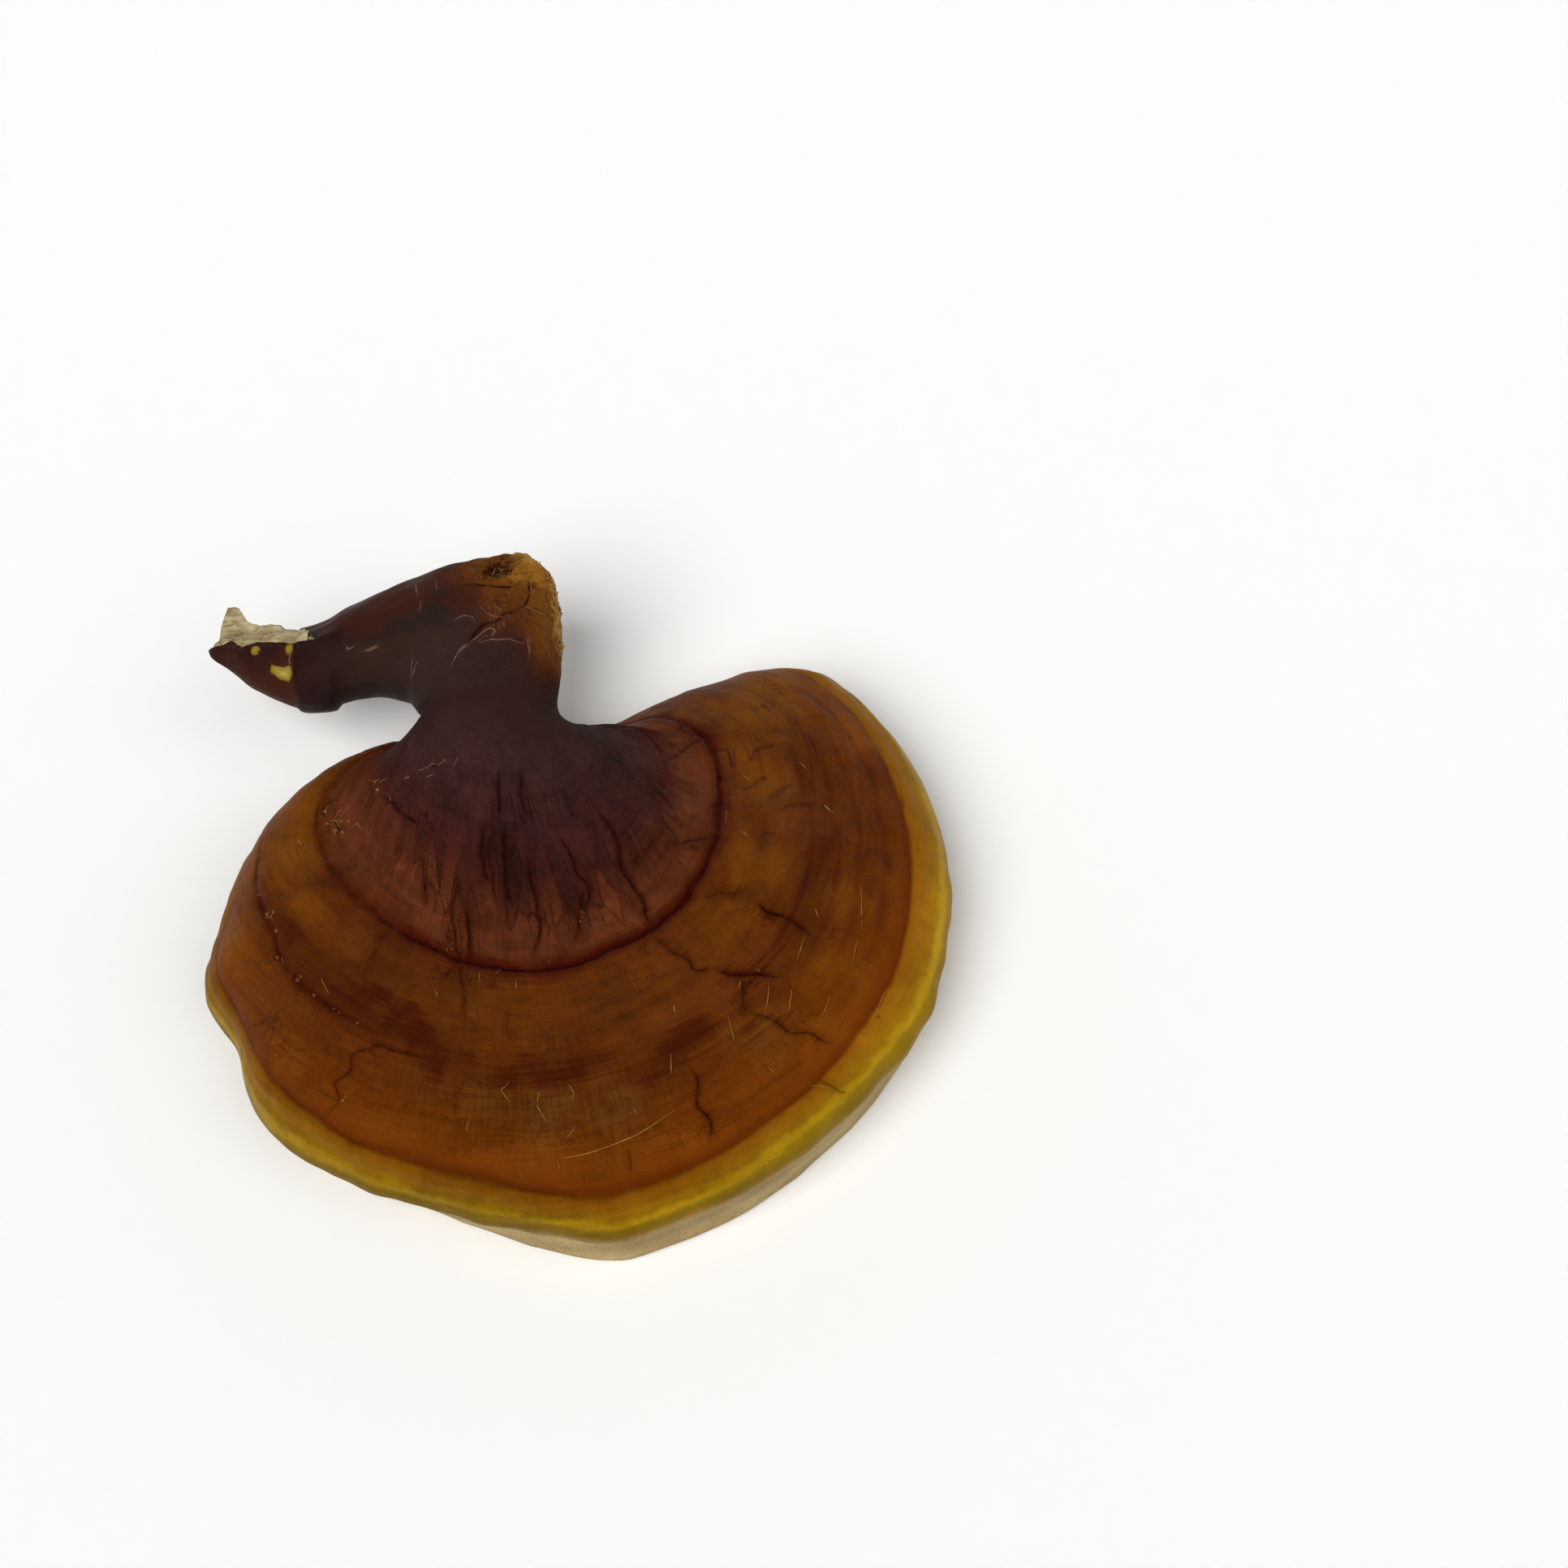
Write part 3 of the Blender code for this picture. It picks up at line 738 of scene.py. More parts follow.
def insideCorners(corners):
    # mm inside a convex outline of (across, up) corners, anticlockwise
    inside = np.full(surface.across.shape, 99.0)
    corners = np.array(corners)
    for start, end in zip(corners, np.roll(corners, -1, axis=0)):
        step = (end - start) / np.linalg.norm(end - start)
        inside = np.minimum(inside, step[0] * (surface.up - start[1]) - step[1] * (surface.across - start[0]))
    return inside


def ellipse(middle, radii):
    # 0 at a middle in the stem's plane, 1 on the ellipse round it
    return np.hypot((surface.across - middle[0]) / radii[0], (surface.up - middle[1]) / radii[1])


def stemMarks():
    # in mm, positive inside: the tan knob, the torn flesh, and the chipped yellow patches; and from 0 to 1
    # the flaky rim of the knob, pale partly from its flakes and partly as a painted highlight along its right
    # edge, its pale top, its pit, and the reddish crust at the torn end
    points = surface.points
    across, up = surface.across, surface.up
    onStem = (surface.growth < 0.05)[:, None]
    pastCrust = (surface.growth < -0.4)[:, None]
    outerSide = surface.lift > -4.0

    edgeAcross, edgeUp = knob["leftEdge"]
    tan = (across - edgeAcross + (up - edgeUp) * 0.45) * 0.9
    tan = np.minimum((up - along(knob["foot"], across)) * 0.8, tan)
    tan += softNoise(points, 4.0, 20) * 1.4 + softNoise(points, 1.5, 25) * 0.6
    aboveCrack = smoothStep(*knob["longCrack"], up + softNoise(points, 2.0, 26) * 0.4)
    tan += knob["topStep"] * aboveCrack * (1 - smoothStep(0, 2, across))
    tan += knob["rightStep"] * smoothStep(0.0, 4.0, across) * smoothStep(8.0, 16.0, up)
    tan = np.where(onStem, tan, -12.0)
    ragged = softNoise(points, 1.2, 27) * 0.5 + softNoise(points, 3.0, 28) * 0.5
    rim = bell(awayFromPath(knob["rim"]) + ragged * 0.6, knob["rimHalfWidth"]) * onStem * outerSide
    fan = smoothStep(-1.2, 1.0, insideCorners(knob["fan"]) + ragged * 1.3) * onStem * outerSide
    pit = knob["pit"]
    lean = math.radians(pit["lean"])
    alongPit = (across - pit["middle"][0]) * math.cos(lean) + (up - pit["middle"][1]) * math.sin(lean)
    overPit = (across - pit["middle"][0]) * math.sin(lean) - (up - pit["middle"][1]) * math.cos(lean)
    pit = np.hypot(overPit / pit["halfWidth"], alongPit / pit["halfLength"]) + ragged * 0.55
    pit = np.where(onStem & (surface.lift > 0), pit, 9.0)

    torn = up - along(tornEnd["edge"], across) + softNoise(points, 1.1, 17) * 0.35
    crustTop = tornEnd["crustTop"]
    torn = np.minimum(torn, (crustTop[0] + (crustTop[1] - up) * 1.4 - across) * 0.6 + ragged * 0.3)
    torn = np.where(pastCrust, torn, -3.0)

    yellow = np.full(across.shape, -3.0)
    for middle, radii in tornEnd["chips"]:
        yellow = np.maximum(yellow, (1 - ellipse(middle, radii)) * min(radii))
    yellow = np.maximum(yellow, insideCorners(tornEnd["lowChip"]))
    yellow = np.minimum(yellow, ellipse(*tornEnd["bite"]) - 1)
    yellow = np.minimum(yellow, ellipse(tornEnd["hole"], (1, 1)) - tornEnd["holeRadius"])
    yellow = np.where(pastCrust & (surface.lift > 0), yellow + softNoise(points, 0.8, 22) * 0.25, -3.0)
    fromStep = across - tornEnd["crustStep"] + softNoise(points, 2.2, 15) * 0.35
    reddish = (1 - smoothStep(-0.4, 0.4, fromStep)) * pastCrust
    upperSide = smoothStep(15.5, 22.5, up - (across + 20) * 0.15 + softNoise(points, 5.0, 57) * 2.0)
    reddish = np.maximum(reddish, 1.3 * upperSide * window(across, -42.0, -34.0, -9.0, 0.0) * onStem)
    return {
        "tan": tan, "torn": torn, "yellow": yellow, "rim": rim, "fan": fan, "pit": pit, "reddish": reddish,
    }


# Soft relief: space, grain in mm and seed of the noise, height in mm, and the growth where it rises and fades
softRelief = [
    ("object", 17.0, 1, 0.65, (0.3, 0.9, 1.85, 2.05)),      # the dome's lumps
    ("object", 7.0, 2, 0.25, (-3, -2, 2.3, 3.0)),
    ("object", 2.6, 3, 0.07, (-3, -2, 2.3, 3.0)),
    ("concentric", 3.4, 7, 0.14, (1.05, 1.2, 1.85, 1.95)),  # fine zones
    ("concentric", 1.3, 28, 0.04, (1.2, 1.4, 1.9, 2.0)),
    ("object", 4.5, 9, 0.3, (1.85, 1.95, 2.3, 2.6)),        # the lumpy edge
    ("radial", 2.4, 10, 0.08, (1.9, 1.96, 2.4, 2.9)),
    ("concentric", 1.4, 12, 0.12, (2.2, 2.4, 3.0, 3.1)),    # steps in the pore wall
    ("creased", 2.2, 13, 0.1, (-3, -2, -0.08, 0.06)),      # the stem, creased lengthwise
    ("object", 5.0, 14, 0.3, (-3, -2, -0.08, 0.06)),
]

# The groove at the margin's colour change and the ridges outside it: mm past the line, half width, height
marginRidges = [(0.0, 0.6, -0.2), (2.3, 1.1, 0.25), (5.0, 0.9, 0.2)]

# How things change round the cap, by direction
roundCap = {
    "darkEnd": [                # growth where the dark foot ends
        (-180, 0.55), (-160, 0.6), (-141, 0.68), (-120, 0.73), (-105, 0.79), (-93, 0.8), (-82, 0.85),
        (-70, 0.86), (-57, 0.85), (-42, 0.8), (-24, 0.8), (-6, 0.78), (20, 0.76), (45, 0.85), (90, 0.95),
        (150, 0.8),
    ],
    "lipFoot": [                # growth where the yellow lip ends
        (-180, 2.32), (-118, 2.32), (-102, 2.2), (-92, 2.06), (-84, 2.005), (-52, 2.005), (-36, 2.05),
        (-15, 2.18), (20, 2.28), (90, 2.3),
    ],
    "lipDelay": [(-180, 1.0), (-108, 1.0), (-94, 1.4), (-74, 1.35), (-56, 1.0), (60, 1.0)],  # power
    "maroonPath": [             # a broad maroon ring, and how strong it is
        (-175, 1.5), (-127, 1.4), (-114, 1.38), (-96, 1.47), (-78, 1.49), (-60, 1.48), (-46, 1.47),
        (-30, 1.42), (40, 1.5),
    ],
    "maroonShare": [
        (-180, 0.15), (-150, 0.7), (-130, 1.05), (-112, 1.2), (-90, 1.1), (-60, 0.8), (-40, 0.48),
        (-10, 0.52), (40, 0.35), (60, 0.1),
    ],
    "maroonFloor": [            # the least maroon on the dome
        (-180, 0.16), (-150, 0.22), (-115, 0.3), (-85, 0.26), (-55, 0.15), (-25, 0.13), (20, 0.2),
        (60, 0.16),
    ],
    # marginShade is partly the margin's own tone and partly painted shade: it darkens the front, about -95 to
    # -78 degrees
    "marginShade": [            # how light: the margin, the foot, the dome and the zone past ring 1
        (-180, 0.95), (-120, 0.92), (-95, 0.72), (-78, 0.8), (-55, 1.04), (-30, 1.35), (-10, 1.45),
        (20, 1.25), (60, 1.0),
    ],
    # footShade lightens the left of the foot, about -180 to -140 degrees: a painted sheen
    "footShade": [(-180, 1.35), (-140, 1.3), (-110, 1.05), (-90, 1.0), (20, 1.0), (60, 1.2)],
    "domeShade": [(-180, 1.0), (-75, 1.0), (-52, 1.26), (-30, 1.16), (-12, 1.0), (60, 1.0)],
    "innerShade": [(-160, 1.0), (-140, 1.12), (-105, 1.14), (-80, 1.05), (-60, 1.0), (60, 1.0)],
}


def noiseSpaces():
    # polar space: round the growth centre and along the surface, so that noise follows the growth
    points = surface.points
    turn = np.radians(surface.degrees)
    spread = along([(-1.0, 9.0), (-0.15, 12.0), (0.35, 50.0), (4.0, 50.0)], surface.growth)[:, None]
    polar = np.stack([spread * np.cos(turn), spread * np.sin(turn), surface.length], axis=2)
    meander = np.stack([softNoise(polar, 6.0, seed) for seed in (31, 32, 33)], axis=2)
    radial = (polar + meander * 2.0) * (1, 1, 0.2)
    wide, small = (np.stack([softNoise(points, grain, seed + step) for seed in (41, 42, 43)], axis=2)
                   for grain, step in ((6.0, 0), (2.2, 3)))
    return {
        "object": points,
        "polar": polar,
        "radial": radial,
        "creased": radial * (1, 1, 1.5),
        "concentric": (polar + meander * 0.7) * (0.03, 0.03, 1),
        "warped": points + wide * 2.6 + small * 0.9,
    }


def reliefField(spaces, growth, marks, fringe, inPit):
    # in mm, outwards
    points, polar, radial, warped = (spaces[key] for key in ("object", "polar", "radial", "warped"))
    relief = np.zeros_like(growth)
    for space, grain, seed, height, span in softRelief:
        relief += softNoise(spaces[space], grain, seed) * height * window(growth, *span)

    # the foot of the cap: dried into broken ridges along the growth, which go on faintly over the dome
    relief += fringe * (0.6 + 0.6 * softNoise(points, 8.0, 35)) * (
        softNoise(radial, 3.6, 4) * 0.24 + softNoise(radial, 1.5, 8) * 0.06
        - ridges(softNoise(radial, 3.6, 5), 5.5) * 0.32 - ridges(softNoise(warped, 3.4, 44), 6.0) * 0.2
    )
    relief -= ridges(softNoise(radial, 5.0, 6), 6.0) * 0.15 * window(growth, 1.02, 1.15, 1.8, 1.9)

    pastLine = surface.length - surface.atGrowth(surface.length, throughStations(marginLine, surface.degrees))
    for place, halfWidth, height in marginRidges:
        relief += height * bell(pastLine - place, halfWidth)
    relief -= 0.16 * bell(pastLine - 3.9, 0.5) * (0.6 + 0.6 * softNoise(polar, 7.0, 29))
    relief -= np.abs(softNoise(points, 9.0, 11)) * 0.5 * smoothStep(2.3, 3.0, growth)      # the pores, dented

    # stem: a flaky knob at the bend, crust broken off before the torn end and thicker below it
    relief -= 0.5 * marks["reddish"]
    notch = tornEnd["notch"]
    underside = bell(surface.up - 7.0, 3.5) * (growth < -0.3)
    relief += 0.8 * underside * window(surface.across, -46.0, notch - 2, notch - 0.2, notch + 0.5)
    relief += (softNoise(points * (0.4, 1, 1), 1.0, 19) * 0.6 - 0.3) * smoothStep(-0.2, 0.5, marks["torn"])
    relief += 0.4 * bell(marks["pit"] - 1.35, 0.3)
    relief -= knob["pit"]["depth"] * inPit
    relief += softNoise(warped, 2.4, 21) * 0.3 * smoothStep(1, 6, marks["tan"])
    relief += (0.22 + softNoise(points, 1.3, 24) * 0.42 + softNoise(points, 0.6, 51) * 0.2) * marks["rim"]
    relief += ridges(softNoise(points, 1.6, 52), 3.0) * 0.25 * marks["fan"]
    return relief


def colourGrowthField(byDirection):
    # growth as the colours read it: 0.8 where the dark foot ends, 2 at the margin line, 3 at the lip's foot
    line = throughStations(marginLine, surface.degrees)
    lineLength = surface.atGrowth(surface.length, line)
    lipFoot = byDirection["lipFoot"] + softNoise(capCircle(), 3.0, 34) * 0.012
    lipLength = surface.atGrowth(surface.length, lipFoot)
    colourGrowth = np.stack([
        np.interp(surface.growth, [-1, 0, end, 1, margin, 3.1, 4], [-1, 0, 0.8, 1, 2, 3.5, 4])
        for end, margin in zip(byDirection["darkEnd"], line)
    ], axis=1)
    pastMargin = (surface.length - lineLength) / (lipLength - lineLength)
    onLip = 2 + np.clip(pastMargin, 0, 1) ** byDirection["lipDelay"] + np.clip(pastMargin - 1, 0, 5) * 0.6
    return np.where(pastMargin > 0, np.minimum(onLip, np.maximum(colourGrowth, 3.2)), colourGrowth)


def maroonField(spaces, growth, byDirection, onDome, ringGlow, crackGlow):
    # along a broad ring, in spots, and round the rings and cracks. Round the rings and cracks it is partly
    # painted shade in their grooves and under their steps, and some spots at the right are partly a painted
    # shadow of a neighbouring cap
    points, radial, warped = (spaces[key] for key in ("object", "radial", "warped"))
    wavering = growth + softNoise(points, 7.0, 45) * 0.045 + softNoise(radial, 3.6, 46) * 0.035
    broadRing = bell(wavering - byDirection["maroonPath"], 0.085) * byDirection["maroonShare"]
    return np.maximum.reduce([
        broadRing * (0.78 + 0.55 * softNoise(points, 5.0, 47)),
        patchField(maroonPatches, warped) * (0.85 + 0.4 * softNoise(points, 2.6, 55)),
        byDirection["maroonFloor"] * onDome,
        0.9 * ringGlow * (0.8 + 0.35 * softNoise(points, 3.0, 48)),
        0.75 * crackGlow * (0.8 + 0.4 * softNoise(points, 2.0, 49)) * smoothStep(0.9, 1.0, growth),
    ])


def shadeField(spaces, growth, colourGrowth, byDirection):
    # how much lighter or darker than the material's own colour: random tone, a painted sheen on the left of
    # the foot and painted shade at the front of the margin
    onMargin = smoothStep(1.97, 2.03, colourGrowth)
    shade = 1 + softNoise(spaces["object"], 12.0, 50) * 0.1
    for name, where in (
        ("marginShade", onMargin),
        ("footShade", window(colourGrowth, 0.25, 0.45, 0.8, 0.95)),
        ("domeShade", window(growth, 1.2, 1.45, 1.85, 1.95)),
        ("innerShade", window(growth, 1.06, 1.12, 1.24, 1.34)),
    ):
        shade *= 1 + (byDirection[name] - 1) * where
    lumps = softNoise(spaces["polar"], 5.0, 53) * 0.12 + softNoise(spaces["radial"], 2.2, 54) * 0.08
    return shade * (1 + lumps * smoothStep(1.95, 2.05, colourGrowth))


def buildFields():
    # everything that varies over the surface: its moved points, and the values that the materials read
    points = surface.points
    growth = np.repeat(surface.growth[:, None], points.shape[1], axis=1)
    degrees = (surface.degrees + 180) % 360 - 180
    byDirection = {key: around(stations, degrees) for key, stations in roundCap.items()}
    spaces = noiseSpaces()
    marks = stemMarks()
    front = bell((degrees + 85 + 180) % 360 - 180, 62)
    fringe = window(growth, 0.3, 0.55, 0.92, 1.0) * (0.3 + 0.7 * front)
    inPit = np.exp(-marks["pit"] ** 4) * (0.75 + 0.6 * softNoise(points, 0.9, 56))

    ringAcross, ringWeight, ringGlow, ringRelief = ringField()
    crackAcross, crackWeight, crackGlow, crackRelief = lineField(drawnLines(cracks, stemCracks, 0))
    flatScuffsAndGlints = [[(path, 0, strength) for path, strength in group] for group in (capScuffsAndGlints, stemScuffsAndGlints)]
    scuffAndGlintAcross, scuffAndGlintWeight, _, _ = lineField(drawnLines(*flatScuffsAndGlints, 300))

    relief = reliefField(spaces, growth, marks, fringe, inPit) + ringRelief + crackRelief
    relief[0] = relief[1].mean()
    relief[-1] = 0
    moved = points + surface.normals * relief[:, :, None]
    moved[:, :, 2] = np.maximum(moved[:, :, 2], 0.0)

    colourGrowth = colourGrowthField(byDirection)
    onDome = window(growth, 1.02, 1.1, 1.72, 1.86)
    amber = patchField(amberPatches, spaces["warped"]) * smoothStep(0.84, 1.04, growth)
    amber = np.maximum(amber, 0.22 * onDome)
    torn, yellow = (np.clip(marks[key], -3, 3) for key in ("torn", "yellow"))
    blank = np.zeros_like(growth)
    fields = {
        "growth": colourGrowth,
        "shade": shadeField(spaces, growth, colourGrowth, byDirection),
        "dull": window(colourGrowth, -0.3, 0.0, 0.35, 0.8) * 0.85,
        "onMargin": window(colourGrowth, 2.0, 2.15, 2.75, 2.95),
        "polar": spaces["polar"],
    }
    for name, parts in (
        ("ringLine", (ringAcross, ringWeight, blank)),
        ("crackLine", (crackAcross, crackWeight, blank)),
        ("scuffAndGlintLine", (scuffAndGlintAcross, scuffAndGlintWeight, blank)),
        ("marks", (np.clip(marks["tan"], -12, 18), torn, yellow)),
        ("knobMarks", (marks["rim"], marks["fan"], inPit)),
        ("tones", (maroonField(spaces, growth, byDirection, onDome, ringGlow, crackGlow), fringe,
                   window(colourGrowth, 0.0, 0.5, 1.9, 1.99))),
        ("tints", (amber, patchField(olivePatches, spaces["warped"]), marks["reddish"])),
    ):
        fields[name] = np.stack(np.broadcast_arrays(*parts), axis=2)
    return moved, marks, fields


def columnShare(growth):
    share = fineMesh["columnShare"][0][1]
    for start, every in fineMesh["columnShare"]:
        if growth >= start:
            share = every
    return share


def addAttribute(mesh, key, data):
    data = np.asarray(data, np.float32)
    kind = "FLOAT" if data.ndim == 1 else "FLOAT_VECTOR"
    layer = mesh.attributes.new(key, kind, "POINT")
    layer.data.foreach_set("value" if data.ndim == 1 else "vector", data.ravel())


def buildMesh(name, rows, fields, toCad):
    # skins the rows; where the number of columns doubles or halves, three triangles fill each step
    every = [columnShare(value) for value in surface.growth]
    vertices = []
    values = {key: [] for key in fields}
    starts = []
    for index, row in enumerate(rows):
        chosen = slice(None, None, every[index])
        if index in (0, len(rows) - 1):
            chosen = slice(0, 1)
        starts.append(sum(len(part) for part in vertices))
        vertices.append(row[chosen])
        for key in fields:
            values[key].append(fields[key][index][chosen])
    vertices = np.concatenate(vertices)

    faces = []
    isPore = []
    for index in range(1, len(rows) - 2):
        near, far = starts[index], starts[index + 1]
        nearCount = fineMesh["columns"] // every[index]
        farCount = fineMesh["columns"] // every[index + 1]
        count = min(nearCount, farCount)
        before = len(faces)
        for step in range(count):
            after = (step + 1) % count
            first, middle, last = 2 * step, 2 * step + 1, 2 * after
            if nearCount == farCount:
                faces.append((near + step, near + after, far + after, far + step))
            elif farCount > nearCount:
                faces += [(near + step, far + middle, far + first), (near + step, near + after, far + middle),
                          (near + after, far + last, far + middle)]
            else:
                faces += [(near + first, near + middle, far + step), (near + middle, far + after, far + step),
                          (near + middle, near + last, far + after)]
        corners = np.array([face[0] for face in faces[before:]]) - near
        isPore += list(fields["growth"][index][corners * every[index]] > fineMesh["poreFrom"])
    tip, firstRow = starts[0], starts[1]
    count = fineMesh["columns"] // every[1]
    faces += [(firstRow + (step + 1) % count, firstRow + step, tip) for step in range(count)]
    isPore += [False] * count
    lastRow, middle = starts[-2], starts[-1]
    count = fineMesh["columns"] // every[-2]
    faces += [(lastRow + step, lastRow + (step + 1) % count, middle) for step in range(count)]
    isPore += [True] * count

    mesh = bpy.data.meshes.new(name)
    mesh.from_pydata(((vertices + toCad) * mm).tolist(), [], faces)
    for key, parts in values.items():
        addAttribute(mesh, key, np.concatenate(parts))
    mesh.polygons.foreach_set("material_index", np.array(isPore, dtype=np.int32))
    mesh.shade_smooth()
    mesh.validate()
    return linkPiece(name, mesh)


def addNode(tree, kind, links=(), stops=(), **settings):
    # one node with its settings; links holds sockets, nodes or plain values by input name or number, and
    # stops the places and hex colours of a ramp. A kind without Node in its name is a shader node.
    node = tree.nodes.new(kind if "Node" in kind else "ShaderNode" + kind)
    for name, value in settings.items():
        setattr(node, name, value)
    for socket, value in dict(links).items():
        if isinstance(value, bpy.types.Node):
            value = value.outputs[0]
        if isinstance(value, bpy.types.NodeSocket):
            tree.links.new(value, node.inputs[socket])
        else:
            node.inputs[socket].default_value = value
    for index, (place, colour) in enumerate(stops):
        elements = node.color_ramp.elements
        if index == 0:
            elements.remove(elements[1])
            elements[0].position = place
        element = elements.new(place) if index else elements[0]
        element.color = hexColour(colour)
    return node


def newMaterial(name, **constants):
    material = bpy.data.materials.new(name)
    material.use_nodes = True
    tree = material.node_tree
    shader = tree.nodes["Principled BSDF"]
    for socket, value in constants.items():
        shader.inputs[socket.replace("_", " ")].default_value = value
    return material, tree, shader


def lineProfile(tree, attribute, halfWidth):
    # 1 on the line and 0 away from it, times how strongly the line shows there
    line = addNode(tree, "Attribute", attribute_name=attribute)
    parts = addNode(tree, "SeparateXYZ", {0: line.outputs["Vector"]})
    scaled = addNode(tree, "Math", {0: parts.outputs[0], 1: 1 / halfWidth}, operation="MULTIPLY")
    squared = addNode(tree, "Math", {0: scaled, 1: scaled}, operation="MULTIPLY")
    negative = addNode(tree, "Math", {0: squared, 1: -1.0}, operation="MULTIPLY")
    profile = addNode(tree, "Math", {0: negative}, operation="EXPONENT")
    return addNode(tree, "Math", {0: profile, 1: parts.outputs[1]}, operation="MULTIPLY", use_clamp=True)


def addShares(tree, total, parts):
    # the total plus each source times its amount, and times a third item that says where it counts
    for source, amount, *where in parts:
        for share in where:
            source = addNode(tree, "Math", {0: source, 1: share}, operation="MULTIPLY")
        total = addNode(tree, "Math", {0: source, 1: amount, 2: total}, operation="MULTIPLY_ADD")
    return total


def wireShader(tree, shader, **sources):
    for socket, source in sources.items():
        source = source.outputs[0] if isinstance(source, bpy.types.Node) else source
        tree.links.new(source, shader.inputs[socket.replace("_", " ")])


# growth as the colours read it, from 0 at the neck to 4 in the middle of the pores
# the grey stops at -0.5 and -0.2, along the arm, are partly the crust's colour and partly a painted sheen
crustColours = [
    (-1.0, "211314"), (-0.62, "251516"), (-0.5, "2a1e1a"), (-0.2, "2e2220"), (0.0, "2d1c19"),
    (0.35, "372221"), (0.6, "371b19"), (0.74, "3a1a14"), (0.82, "482013"), (0.93, "5a2c17"),
    (1.02, "54260b"), (1.1, "552709"), (1.25, "5c2d0a"), (1.45, "58290a"), (1.65, "552707"),
    (1.8, "5c2b06"), (1.92, "653107"), (1.975, "602c05"), (2.0, "4c1c03"), (2.06, "724408"),
    (2.25, "7b510a"), (2.4, "7f5b0a"), (2.5, "93700d"), (2.57, "93730e"), (2.66, "7d600c"),
    (2.82, "735a0d"), (2.95, "7c5f20"), (3.08, "988058"), (4.0, "988058"),
]

# noise in the crust: space, turns per mm along each axis, detail, roughness, distortion. In polar space the
# third axis runs along the growth, so fibres are thin across it and zones are thin along it.
crustNoise = {
    "fibres": ("polar", (0.62, 0.62, 0.09), 4.0, 0.6, 0.5),  # 1.6 mm apart, 10 mm long
    "fingers": ("polar", (0.24, 0.24, 0.08), 4.0, 0.65, 0.6),  # 4 mm apart
    "hairlines": ("polar", (0.34, 0.34, 0.05), 2.0, 0.5, 0.8),
    "hatch": ("polar", (2.2, 2.2, 0.2), 2.0, 0.5, 0.3),  # 0.5 mm apart, 5 mm long
    "zones": ("polar", (0.03, 0.03, 0.5), 3.0, 0.55, 0.0),  # 2 mm apart
    "rills": ("polar", (0.06, 0.06, 1.1), 3.0, 0.55, 0.4),  # 0.9 mm apart
    "arcs": ("polar", (0.05, 0.05, 0.55), 2.0, 0.5, 0.5),
    "patches": ("polar", (0.07, 0.07, 0.16), 4.0, 0.6, 0.3),
    "blotches": ("object", (95.0, 95.0, 95.0), 4.0, 0.6, 0.0),  # 10 mm
    "mottle": ("object", (330.0, 330.0, 330.0), 3.0, 0.6, 0.0),  # 3 mm
    "grain": ("object", (1100.0, 1100.0, 1100.0), 3.0, 0.6, 0.0),  # 1 mm
}

# plates that the crust shrank into: turns per mm in polar space, width of the gap as a share of a plate,
# how much the plates differ, how crooked they are
crustPlates = {
    "foot": ((0.27, 0.27, 0.1), 0.07, 0.3, 0.45),  # 4 x 10 mm
    "dome": ((0.11, 0.11, 0.09), 0.022, 0.26, 0.9),  # 9 x 11 mm
}


